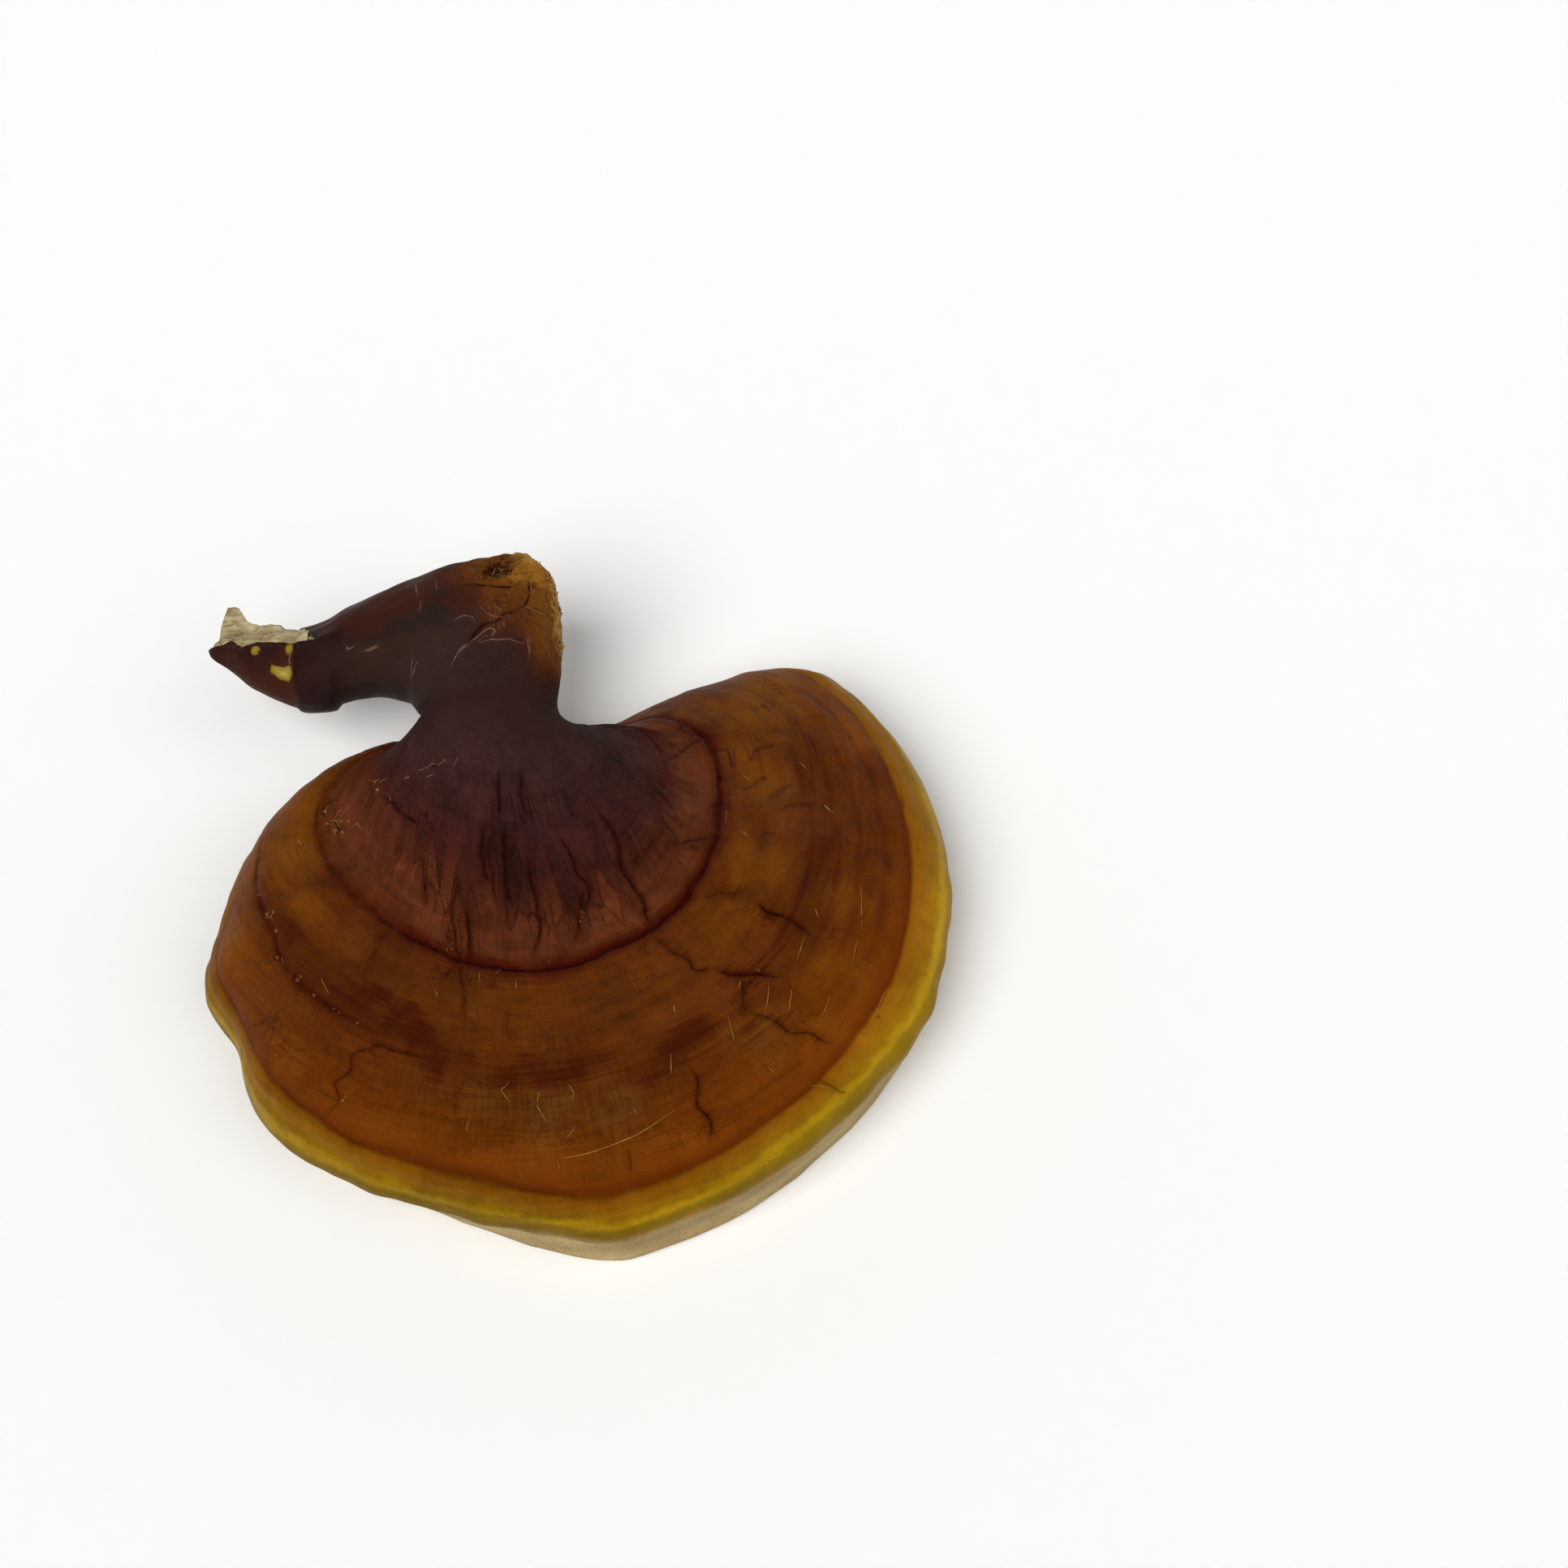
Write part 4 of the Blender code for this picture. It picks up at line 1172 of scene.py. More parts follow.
def crustMaterial():
    # Lacquered crust: upright cells full of resin that dried to a thin hard skin. It gives a deep
    # red-brown with a warm satin gloss, fine fibres along the growth and fine zones across it.
    material, tree, shader = newMaterial(
        "dried lacquered crust", Specular_IOR_Level=0.06, Specular_Tint=hexColour("d8862a"),
    )
    growth, shade, dull, onMargin = (
        addNode(tree, "Attribute", attribute_name=name).outputs["Fac"]
        for name in ("growth", "shade", "dull", "onMargin")
    )
    space = {
        "polar": addNode(tree, "Attribute", attribute_name="polar").outputs["Vector"],
        "object": addNode(tree, "TexCoord").outputs["Object"],
    }
    part = {"margin": onMargin}
    for name, parts in (
        ("tones", ("maroon", "foot", "dome")), ("tints", ("amber", "olive", "reddish")),
        ("marks", ("tan", "torn", "yellow")), ("knobMarks", ("rim", "fan", "pit")),
    ):
        vector = addNode(tree, "Attribute", attribute_name=name).outputs["Vector"]
        split = addNode(tree, "SeparateXYZ", {0: vector})
        part.update(zip(parts, split.outputs))
    noise = {}
    for name, (where, turns, *looks) in crustNoise.items():
        stretched = addNode(tree, "VectorMath", {0: space[where], 1: turns}, operation="MULTIPLY")
        looks = dict(zip(("Detail", "Roughness", "Distortion"), looks))
        texture = addNode(tree, "TexNoise", {"Vector": stretched, "Scale": 1.0, **looks})
        noise[name] = addNode(tree, "Math", {0: texture, 1: -0.5}, operation="ADD")

    # plates: each a little darker or paler than the next, with a thin broken gap between them
    plate = {}
    gap = {}
    shift = addNode(tree, "CombineXYZ", {0: noise["mottle"], 1: noise["hairlines"], 2: noise["fibres"]})
    for name, (turns, width, differ, crooked) in crustPlates.items():
        place = addNode(tree, "VectorMath", {0: space["polar"], 1: turns}, operation="MULTIPLY")
        links = {0: shift, 1: (crooked, crooked, 0.4 * crooked), 2: place}
        place = addNode(tree, "VectorMath", links, operation="MULTIPLY_ADD")
        links = {"Vector": place, "Scale": 1.0}
        cell = addNode(tree, "TexVoronoi", links)
        edge = addNode(tree, "TexVoronoi", links, feature="DISTANCE_TO_EDGE")
        tone = addNode(tree, "SeparateXYZ", {0: cell.outputs["Color"]})
        tone = addNode(tree, "Math", {0: tone, 1: -0.5}, operation="ADD")
        plate[name] = addShares(tree, 0.0, ((tone, differ, part[name]),))
        edge = edge.outputs["Distance"]
        line = addNode(tree, "MapRange", {0: edge, 1: 0.0, 2: width, 3: 1.0, 4: 0.0})
        shown = addNode(tree, "MapRange", {0: noise["blotches"], 1: -0.04, 2: 0.1})
        shown = addNode(tree, "Math", {0: shown, 1: part[name]}, operation="MULTIPLY")
        gap[name] = addNode(tree, "Math", {0: line, 1: shown}, operation="MULTIPLY")

    # the ramp, read with a ragged edge where the dark foot ends
    fingers = addNode(tree, "Math", {0: noise["fingers"], 1: -0.02}, operation="ADD")
    rampPlace = addShares(tree, growth, (
        (fingers, 0.12, part["foot"]), (plate["foot"], 0.38), (noise["blotches"], 0.09),
        (noise["fingers"], 0.1, onMargin), (noise["mottle"], 0.2, onMargin),
        (noise["patches"], 0.34, onMargin),
    ))
    rampPlace = addNode(tree, "MapRange", {0: rampPlace, 1: -1.0, 2: 4.0})
    stops = [((start + 1) / 5, tint) for start, tint in crustColours]
    colour = addNode(tree, "ValToRGB", {0: rampPlace}, stops=stops)

    # depth of colour: soft blotches everywhere, fibres, zones and plates on the cap
    # the shade attribute carries the painted sheen on the foot and the painted shade at the front of the
    # margin
    value = addShares(tree, shade, (
        (plate["foot"], 1.0), (plate["dome"], 1.0), (noise["blotches"], 0.45), (noise["mottle"], 0.34),
        (noise["grain"], 0.26),
    ))
    value = addShares(tree, value, ((noise[name], amount, part[where]) for name, amount, where in (
        ("fibres", 0.4, "dome"), ("zones", 0.5, "dome"), ("rills", 0.5, "dome"), ("patches", 1.25, "dome"),
        ("hatch", 0.3, "dome"), ("fibres", 0.35, "foot"), ("hatch", 0.35, "foot"), ("mottle", 0.35, "foot"),
        ("rills", 0.4, "margin"), ("zones", 0.4, "margin"), ("fibres", 0.3, "margin"),
    )))
    colour = addNode(tree, "VectorMath", {0: colour, "Scale": value}, operation="SCALE")

    # amber where the crust is thin, olive with pale strokes where it is rubbed, maroon where resin lies
    # thick; round the rings and cracks, and in some spots at the right, the maroon is partly painted shade
    ragged = addShares(tree, 0.0, ((noise["patches"], 1.3), (noise["mottle"], 0.7)))
    strokes = addShares(tree, ragged, ((noise["hatch"], 2.0),))
    soaked = addShares(tree, ragged, ((noise["fibres"], 0.8), (noise["rills"], 1.9)))
    for share, edge, low, high, most, tint in (
        (part["amber"], ragged, 0.1, 1.1, 0.85, "814a0b"),
        (part["olive"], strokes, 0.15, 1.4, 0.75, "64431a"),
        (part["maroon"], soaked, 0.15, 1.0, 0.92, "3e1306"),
    ):
        span = {0: addShares(tree, share, ((edge, 0.7),)), 1: low, 2: high, 4: most}
        edge = addNode(tree, "MapRange", span, interpolation_type="SMOOTHSTEP")
        share = addNode(tree, "Math", {0: share, 1: 6.0}, operation="MULTIPLY", use_clamp=True)
        share = addNode(tree, "Math", {0: share, 1: edge}, operation="MULTIPLY")
        colour = addNode(tree, "Mix", {0: share, 6: colour, 7: hexColour(tint)}, data_type="RGBA").outputs[2]

    # hairlines: thin dark lines where the noise crosses its middle, broken by the mottle
    line = {}
    for name, width, breaks in (("hairlines", 0.014, "mottle"), ("arcs", 0.02, "blotches")):
        size = addNode(tree, "Math", {0: noise[name]}, operation="ABSOLUTE")
        size = addNode(tree, "MapRange", {0: size, 1: 0.0, 2: width, 3: 1.0, 4: 0.0})
        shown = addNode(tree, "MapRange", {0: noise[breaks], 1: 0.0, 2: 0.14})
        shown = addNode(tree, "Math", {0: shown, 1: part["dome"]}, operation="MULTIPLY")
        line[name] = addNode(tree, "Math", {0: size, 1: shown}, operation="MULTIPLY")
    # the ring lines and their halo are partly the crust's colour and partly painted shade in the groove and
    # under the step
    ringCore = lineProfile(tree, "ringLine", 0.6)
    ringHalo = lineProfile(tree, "ringLine", 1.8)
    # the crack lines, and the darkening round them, are partly the crust's colour and partly painted shade in
    # the groove
    crackCore = lineProfile(tree, "crackLine", 0.18)
    crackHalo = lineProfile(tree, "crackLine", 0.7)
    crackHalo = addNode(tree, "Math", {0: crackHalo, 1: 0.6}, operation="MULTIPLY")
    links = {0: crackHalo, 6: colour, 7: hexColour("a87868")}
    colour = addNode(tree, "Mix", links, data_type="RGBA", blend_type="MULTIPLY").outputs[2]
    crumbled = addNode(tree, "MapRange", {0: noise["mottle"], 1: -0.12, 2: 0.02, 3: 0.35, 4: 1.0})
    crackCore = addNode(tree, "Math", {0: crackCore, 1: crumbled}, operation="MULTIPLY")
    for profile, share, tint in (
        (line["hairlines"], 0.35, "300c05"), (line["arcs"], 0.35, "381006"), (gap["dome"], 0.45, "381006"),
        (gap["foot"], 0.65, "240b09"), (ringHalo, 0.78, "430e07"), (ringCore, 0.84, "300805"),
        (crackCore, 0.8, "2b0a05"),
    ):
        share = addNode(tree, "Math", {0: profile, 1: share}, operation="MULTIPLY")
        colour = addNode(tree, "Mix", {0: share, 6: colour, 7: hexColour(tint)}, data_type="RGBA").outputs[2]

    # stem: brown flaky knob, yellow flesh where the crust is chipped, and torn flesh at the end
    flaky = addShares(tree, 0.0, ((noise["mottle"], 5.0), (noise["grain"], 6.0)))
    tanPlace = addShares(tree, part["tan"], ((noise["blotches"], 6.0), (flaky, 1.0)))
    span = {0: tanPlace, 1: -5.0, 2: 4.0, 4: 0.97}
    tanShare = addNode(tree, "MapRange", span, interpolation_type="SMOOTHSTEP")
    tanPlace = addNode(tree, "MapRange", {0: tanPlace, 1: 0.0, 2: 24.0})
    tanColour = addNode(tree, "ValToRGB", {0: tanPlace}, stops=[
        (0.0, "3f2015"), (0.15, "512913"), (0.3, "643612"), (0.45, "6e4015"), (0.65, "78471a"),
        (0.85, "82521e"), (1.0, "8a5e24"),
    ])
    knobShare = {}
    for name, rough, low, high, most in (
        ("fan", 0.14, 0.25, 0.9, 0.75), ("rim", 0.34, 0.45, 1.2, 0.95), ("pit", 0.2, 0.15, 0.65, 0.92),
    ):
        ragged = addShares(tree, part[name], ((flaky, rough),))
        share = addNode(tree, "MapRange", {0: ragged, 1: low, 2: high, 4: most})
        inside = addNode(tree, "Math", {0: part[name], 1: 5.0}, operation="MULTIPLY", use_clamp=True)
        knobShare[name] = addNode(tree, "Math", {0: share, 1: inside}, operation="MULTIPLY")
    grain = addNode(tree, "Math", {0: noise["grain"], 1: 0.5}, operation="ADD")
    fleshStops = [(0.3, "6e5c3c"), (0.5, "a3926a"), (0.7, "bdae86")]
    fleshColour = addNode(tree, "ValToRGB", {0: grain}, stops=fleshStops)
    fleshShare = addNode(tree, "MapRange", {0: part["torn"], 1: -0.12, 2: 0.12})
    yellowPlace = addNode(tree, "MapRange", {0: part["yellow"], 1: 0.0, 2: 1.2})
    yellowStops = [(0.0, "76601e"), (0.5, "917c32"), (1.0, "a8944a")]
    yellowColour = addNode(tree, "ValToRGB", {0: yellowPlace}, stops=yellowStops)
    yellowShare = addNode(tree, "MapRange", {0: part["yellow"], 1: -0.12, 2: 0.12})
    reddishShare = addShares(tree, part["reddish"], ((noise["blotches"], 2.4),))
    reddishShare = addNode(tree, "MapRange", {0: reddishShare, 1: 0.45, 2: 1.25, 4: 0.9})
    stemCore = addNode(tree, "MapRange", {0: growth, 1: -0.06, 2: 0.0, 3: 1.0, 4: 0.0})
    stemCore = addNode(tree, "Math", {0: crackCore, 1: stemCore}, operation="MULTIPLY")
    # the pale scuffs are partly scratched skin and partly painted glints
    scuffAndGlintShare = lineProfile(tree, "scuffAndGlintLine", 0.1)
    scuffAndGlintShare = addNode(tree, "Math", {0: scuffAndGlintShare, 1: crumbled}, operation="MULTIPLY")
    # the knob's pale rim is partly flaky skin and partly a painted highlight along its right edge
    for share, tint in (
        (reddishShare, "3b1c12"), (tanShare, tanColour), (knobShare["fan"], "9c6824"),
        (knobShare["rim"], "b08440"), (knobShare["pit"], "2e1208"), (yellowShare, yellowColour),
        (fleshShare, fleshColour), (stemCore, "1e0b07"), (scuffAndGlintShare, "8c7060"),
    ):
        tint = hexColour(tint) if isinstance(tint, str) else tint
        colour = addNode(tree, "Mix", {0: share, 6: colour, 7: tint}, data_type="RGBA").outputs[2]

    bare = addNode(tree, "Math", {0: fleshShare, 1: yellowShare}, operation="MAXIMUM")
    bare = addNode(tree, "Math", {0: bare, 1: tanShare}, operation="MAXIMUM")
    roughness = addNode(tree, "MapRange", {0: noise["blotches"], 1: -0.2, 2: 0.2, 3: 0.38, 4: 0.56})
    roughness = addShares(tree, roughness, ((dull, 0.34),))
    roughness = addNode(tree, "Mix", {0: bare, 2: roughness, 3: 0.85})

    glossy = addNode(tree, "Math", {0: 1.0, 1: dull}, operation="SUBTRACT", use_clamp=True)
    height = addShares(tree, 0.0, (     # relief in mm
        (noise["fibres"], 0.13, glossy), (noise["zones"], 0.26, part["dome"]),
        (noise["rills"], 0.2, part["dome"]), (noise["grain"], 0.07), (noise["mottle"], 0.12),
        (line["hairlines"], -0.08), (line["arcs"], -0.08), (gap["foot"], -0.16), (gap["dome"], -0.08),
        (plate["foot"], 0.5), (ringCore, -0.25), (crackCore, -0.36), (scuffAndGlintShare, 0.08),
        (noise["grain"], 0.4, fleshShare), (flaky, 0.1, tanShare),
    ))
    bump = addNode(tree, "Bump", {"Strength": 1.0, "Distance": mm, "Height": height})
    wireShader(tree, shader, Base_Color=colour, Roughness=roughness, Normal=bump)
    return material


def poreMaterial():
    # Pore layer: the ends of fine tubes, dry and unglazed. It looks like matt cream suede; the
    # tubes are 0.2 mm apart and are drawn 0.7 mm apart so that they show.
    material, tree, shader = newMaterial("dried pore layer", Roughness=0.88, Specular_IOR_Level=0.25)
    place = addNode(tree, "TexCoord").outputs["Object"]
    growth = addNode(tree, "Attribute", attribute_name="growth").outputs["Fac"]
    pores = addNode(tree, "TexVoronoi", {"Vector": place, "Scale": 1400.0, "Randomness": 0.8})
    blotches = addNode(tree, "TexNoise", {"Vector": place, "Scale": 70.0, "Detail": 4.0, "Roughness": 0.6})
    stops = [(0.3, "8d7449"), (0.5, "a18a5c"), (0.7, "b29c6e")]
    cream = addNode(tree, "ValToRGB", {0: blotches}, stops=stops)
    polar = addNode(tree, "Attribute", attribute_name="polar").outputs["Vector"]
    place = addNode(tree, "VectorMath", {0: polar, 1: (0.02, 0.02, 0.22)}, operation="MULTIPLY")
    steps = addNode(tree, "TexNoise", {"Vector": place, "Scale": 1.0, "Detail": 2.0})
    steps = addNode(tree, "MapRange", {0: steps, 1: 0.35, 2: 0.65, 3: 0.86, 4: 1.06})
    cream = addNode(tree, "VectorMath", {0: cream, "Scale": steps}, operation="SCALE")
    tube = addNode(tree, "MapRange", {0: pores.outputs["Distance"], 1: 0.05, 2: 0.4, 3: 0.72, 4: 1.0})
    colour = addNode(tree, "VectorMath", {0: cream, "Scale": tube}, operation="SCALE")
    edge = addNode(tree, "MapRange", {0: growth, 1: 2.95, 2: 3.12, 3: 1.0, 4: 0.0})
    colour = addNode(tree, "Mix", {0: edge, 6: colour, 7: hexColour("8a7030")}, data_type="RGBA")
    height = addNode(tree, "Math", {0: tube, 1: 0.35}, operation="MULTIPLY")
    bump = addNode(tree, "Bump", {"Strength": 0.7, "Distance": mm, "Height": height})
    wireShader(tree, shader, Base_Color=colour.outputs[2], Normal=bump)
    return material


rows, marks, fields = buildFields()
mushroom = buildMesh("mushroomBody", rows, fields, cadShift)
mushroom.data.materials.append(crustMaterial())
mushroom.data.materials.append(poreMaterial())
printTriangles(mushroom)
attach(mushroom, "root")
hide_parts("reishi")

# Dry flesh that stands up from the torn end as a thin skin, in the stem's plane
wisp = {
    "top": [                    # across, up
        (-55.5, 18.2), (-55.2, 20.6), (-54.8, 23.4), (-54.2, 25.2), (-53.2, 25.9), (-52.2, 25.4),
        (-51.2, 24.0), (-50.4, 23.0), (-49.4, 22.4), (-48.3, 22.0), (-45.8, 21.7), (-41.8, 21.1),
        (-39.6, 20.2), (-38.2, 19.0),
    ],
    "columns": 130,
    "rows": 26,
    "thickness": (0.5, 0.14),   # at the root and at the free edge
    "lean": 0.1,                # mm back for each mm up
    "rootDepth": 0.2,           # mm below the torn edge
    "clear": 0.12,              # mm in front of the torn face
    "leastHeight": 0.3,
    "folds": 0.5,
    "looseFrom": (0.15, 0.6),   # shares of the way up where the folds begin and are full
    "ragged": 0.34,
    "taperColumns": 6,          # thin at both ends, over this many columns
}

# Loose fibres: how many, and how they stand out
strands = {
    "sides": 5,
    "segments": 4,
    "tipShare": 0.2,            # of the thickness
    "rootDepth": 0.1,           # mm below the surface
    "outwards": 0.2,            # how much they lean away from the surface
    "torn": {"count": 150, "length": 1.9, "thickness": 0.13, "spread": 0.35, "bend": 0.35, "seed": 5},
    "pit": {"count": 46, "length": 1.7, "thickness": 0.17, "spread": 0.7, "bend": 0.4, "seed": 9},
}

# Lint and split fibres on the cap, as (direction, growth) points: most lie from front to back. Their pale
# colour is partly their own and partly painted glints.
hairs = {
    "thickness": 0.12,
    "sides": 5,
    "points": 16,               # on each
    "swayPoints": 5,
    "sway": 0.07,               # mm to the side
    "clear": 0.06,              # mm above the surface at its ends
    "rise": (0.03, 0.2),        # and how much more at its middle
    "vary": (0.65, 1.15),       # share of the thickness
    "onCap": [
        [(-18, 1.62), (-22, 1.645), (-25.5, 1.67)], [(-27, 1.67), (-31.5, 1.695)],
        [(-31.5, 1.485), (-36, 1.513)], [(-42, 1.485), (-46.5, 1.57)], [(-40.5, 1.57), (-43.5, 1.62)],
        [(-37.5, 1.695), (-40.5, 1.72)], [(-51, 1.485), (-52.5, 1.57)], [(-51, 1.72), (-51, 1.757)],
        [(-45, 1.4), (-46.5, 1.428)], [(-61.5, 1.485), (-63, 1.57)],
        [(-87, 1.513), (-88.5, 1.56), (-87, 1.6)], [(-82.5, 1.542), (-83.2, 1.6), (-82.0, 1.66)],
        [(-78, 1.513), (-77.5, 1.55), (-78, 1.585)], [(-78, 1.675), (-79.5, 1.722)],
        [(-81, 1.793), (-81, 1.83)], [(-81, 1.793), (-75, 1.757), (-70.5, 1.738), (-64.5, 1.695)],
        [(-7.5, 1.033), (-12, 1.033)], [(-31.5, 1.843), (-34.5, 1.857)], [(-39, 1.909), (-40.5, 1.93)],
        [(-46.5, 1.901), (-48, 1.862)], [(-26, 1.475), (-27.5, 1.5)], [(-70, 1.64), (-69.5, 1.67)],
        [(-93, 1.7), (-93.4, 1.74)], [(-163.5, 1.17), (-166, 1.22)], [(-104, 1.18), (-103, 1.215)],
        [(-128, 1.42), (-124, 1.445)], [(-57, 1.33), (-57.6, 1.36)], [(-86, 1.06), (-85.7, 1.1)],
        [(-95, 1.04), (-94.6, 1.08)], [(-171, 0.945), (-175.5, 0.94), (-175, 0.89)],
        [(-169, 0.925), (-166, 0.885), (-162, 0.88)], [(-167, 0.9), (-168.5, 0.86), (-166, 0.83)],
        [(-164, 0.92), (-161, 0.905)], [(-172, 0.86), (-170, 0.82)], [(-160, 0.625), (-158, 0.58)],
        [(-157, 0.6), (-154.5, 0.56)], [(-155, 0.57), (-152.5, 0.55)], [(5, 1.12), (3, 1.15)],
        [(-14, 1.1), (-15, 1.13)], [(-3, 1.46), (-5, 1.5)], [(8, 1.4), (6, 1.43)],
    ],
    # the pale strokes on the foot stand for reflections on crinkled skin: painted highlights
    "onFoot": [                 # direction, growth, where the foot is dark
        [(-134, 0.44), (-130, 0.42), (-127, 0.4)], [(-128, 0.42), (-124, 0.385), (-121, 0.38)],
        [(-121, 0.39), (-117, 0.37), (-115, 0.355)], [(-126, 0.455), (-121, 0.42)],
        [(-141, 0.5), (-137, 0.47)],
    ],
    "onStem": [                 # across, up
        [(-19.4, 27.6), (-18.7, 24.0)], [(-17.7, 23.8), (-18.1, 20.6)], [(-18.2, 12.2), (-19.3, 9.6)],
        [(-30.9, 15.3), (-30.6, 14.2)], [(-27.7, 14.4), (-25.4, 15.3)],
        [(-11.6, 11.2), (-10.7, 13.4), (-8.8, 14.9)], [(-15.6, 27.5), (-15.2, 25.4)],
        [(1.2, 16.6), (1.3, 13.2)],
    ],
}

# Flakes of dried skin that have lifted: direction, growth, how many, how far they scatter in mm
# Their pale colour is partly the lifted skin's own and partly painted glints on the lips of the creases.
flakes = {
    "size": 0.56,
    "thickness": 0.06,
    "curl": 0.25,
    "spread": 0.45,
    "seed": 3,
    "spots": [
        (-165, 0.89, 12, 1.3), (-159, 0.6, 3, 0.8), (-174, 0.944, 4, 0.8), (-160.5, 0.88, 4, 1.0),
        (-163.5, 1.165, 3, 0.7), (-154.5, 0.61, 1, 0.6), (-136.5, 1.543, 3, 0.6), (-133.5, 1.53, 3, 0.6),
        (-147, 1.506, 4, 0.8), (-34.5, 1.85, 4, 0.9), (-46.5, 1.3, 1, 0.9), (-42, 1.42, 1, 0.9),
        (-112, 1.78, 3, 0.8), (-48, 0.98, 1, 0.7), (-66, 0.9, 3, 0.7), (-104, 0.98, 2, 0.5),
        (-90, 1.02, 3, 0.7), (-78, 0.98, 2, 0.5),
    ],
    "widthShare": 0.62,
    "narrowing": 1.2,           # how much narrower one end is
    "vertices": (5, 4, 2),
    "alongRing": (10, 2, 0.5),  # on the second ring: places, how many at each, scatter
    "ringEnds": (4, -20),       # degrees from the ring's ends to the first and last place
    "onRim": (60, 0.55),        # on the rim of the knob: how many, and where its mark is over this
    "clear": 0.02,              # mm above the surface
}


strewnSize = (0.45, 1.35)       # the smallest and largest share of a fibre's or flake's size


def newTree(name, numbers):
    # a Geometry Nodes tree that takes a mesh and some named numbers
    tree = bpy.data.node_groups.new(name, "GeometryNodeTree")
    tree.interface.new_socket("Mesh", in_out="INPUT", socket_type="NodeSocketGeometry")
    for label, value in numbers.items():
        kind = "NodeSocketInt" if isinstance(value, int) else "NodeSocketFloat"
        tree.interface.new_socket(label, in_out="INPUT", socket_type=kind)
    tree.interface.new_socket("Mesh", in_out="OUTPUT", socket_type="NodeSocketGeometry")
    return tree, tree.nodes.new("NodeGroupInput").outputs


def endTree(tree, geometry, material):
    real = addNode(tree, "GeometryNodeRealizeInstances", {0: geometry})
    painted = addNode(tree, "GeometryNodeSetMaterial", {0: real, 2: material})
    addNode(tree, "NodeGroupOutput", {0: painted})


def grow(name, tree, numbers, points, edges=(), **attributes):
    # runs the tree on points in mm, and keeps what it makes as a plain mesh
    mesh = bpy.data.meshes.new(name + "Seeds")
    mesh.from_pydata(((np.array(points) + cadShift) * mm).tolist(), list(edges), [])
    for key, data in attributes.items():
        addAttribute(mesh, key, data)
    holder = linkPiece(name + "Holder", mesh)
    modifier = holder.modifiers.new(name, "NODES")
    modifier.node_group = tree
    for item in tree.interface.items_tree:
        if item.in_out == "INPUT" and item.name in numbers:
            modifier[item.identifier] = numbers[item.name]
    grown = bpy.data.meshes.new_from_object(holder.evaluated_get(bpy.context.evaluated_depsgraph_get()))
    bpy.data.objects.remove(holder)
    grown.name = name
    return linkPiece(name, grown)


def strewTree(name, numbers, shape, material):
    # one small shape on every point, along the point's "lie" give or take some spread, and of random size
    tree, given = newTree(name, numbers)
    lie = addNode(tree, "GeometryNodeInputNamedAttribute", {0: "lie"}, data_type="FLOAT_VECTOR")
    links = {0: (-1.0, -1.0, -1.0), 1: (1.0, 1.0, 1.0), 8: given["Seed"]}
    stray = addNode(tree, "FunctionNodeRandomValue", links, data_type="FLOAT_VECTOR")
    stray = addNode(tree, "VectorMath", {0: stray, "Scale": given["Spread"]}, operation="SCALE")
    aim = addNode(tree, "VectorMath", {0: lie, 1: stray}, operation="ADD")
    turned = addNode(tree, "FunctionNodeAlignRotationToVector", {2: aim}, axis="Z")
    links = {2: 0.0, 3: 2 * math.pi, 8: given["Seed"]}
    roll = addNode(tree, "FunctionNodeRandomValue", links, data_type="FLOAT")
    roll = addNode(tree, "FunctionNodeAxisAngleToRotation", {0: (0.0, 0.0, 1.0), 1: roll.outputs[1]})
    turned = addNode(tree, "FunctionNodeRotateRotation", {0: turned, 1: roll}, rotation_space="LOCAL")
    links = {2: strewnSize[0], 3: strewnSize[1], 8: given["Seed"]}
    size = addNode(tree, "FunctionNodeRandomValue", links, data_type="FLOAT")
    links = {0: given["Mesh"], 2: shape(tree, given), 5: turned, 6: size.outputs[1]}
    placed = addNode(tree, "GeometryNodeInstanceOnPoints", links)
    endTree(tree, placed, material)
    return tree


def strandShape(tree, given):
    # a tapered fibre that bends over towards its end
    foot = addNode(tree, "Math", {0: given["Thickness"], 1: 0.5}, operation="MULTIPLY")
    tip = addNode(tree, "Math", {0: given["Thickness"], 1: 0.5 * strands["tipShare"]}, operation="MULTIPLY")
    links = {0: strands["sides"], 1: strands["segments"], 3: tip, 4: foot, 5: given["Length"]}
    cone = addNode(tree, "GeometryNodeMeshCone", links)
    place = addNode(tree, "SeparateXYZ", {0: addNode(tree, "GeometryNodeInputPosition")})
    share = addNode(tree, "Math", {0: place.outputs[2], 1: given["Length"]}, operation="DIVIDE")
    over = addNode(tree, "Math", {0: share, 1: 2.0}, operation="POWER")
    for amount in (given["Bend"], given["Length"]):
        over = addNode(tree, "Math", {0: over, 1: amount}, operation="MULTIPLY")
    over = addNode(tree, "CombineXYZ", {0: over})
    return addNode(tree, "GeometryNodeSetPosition", {0: cone, 3: over})


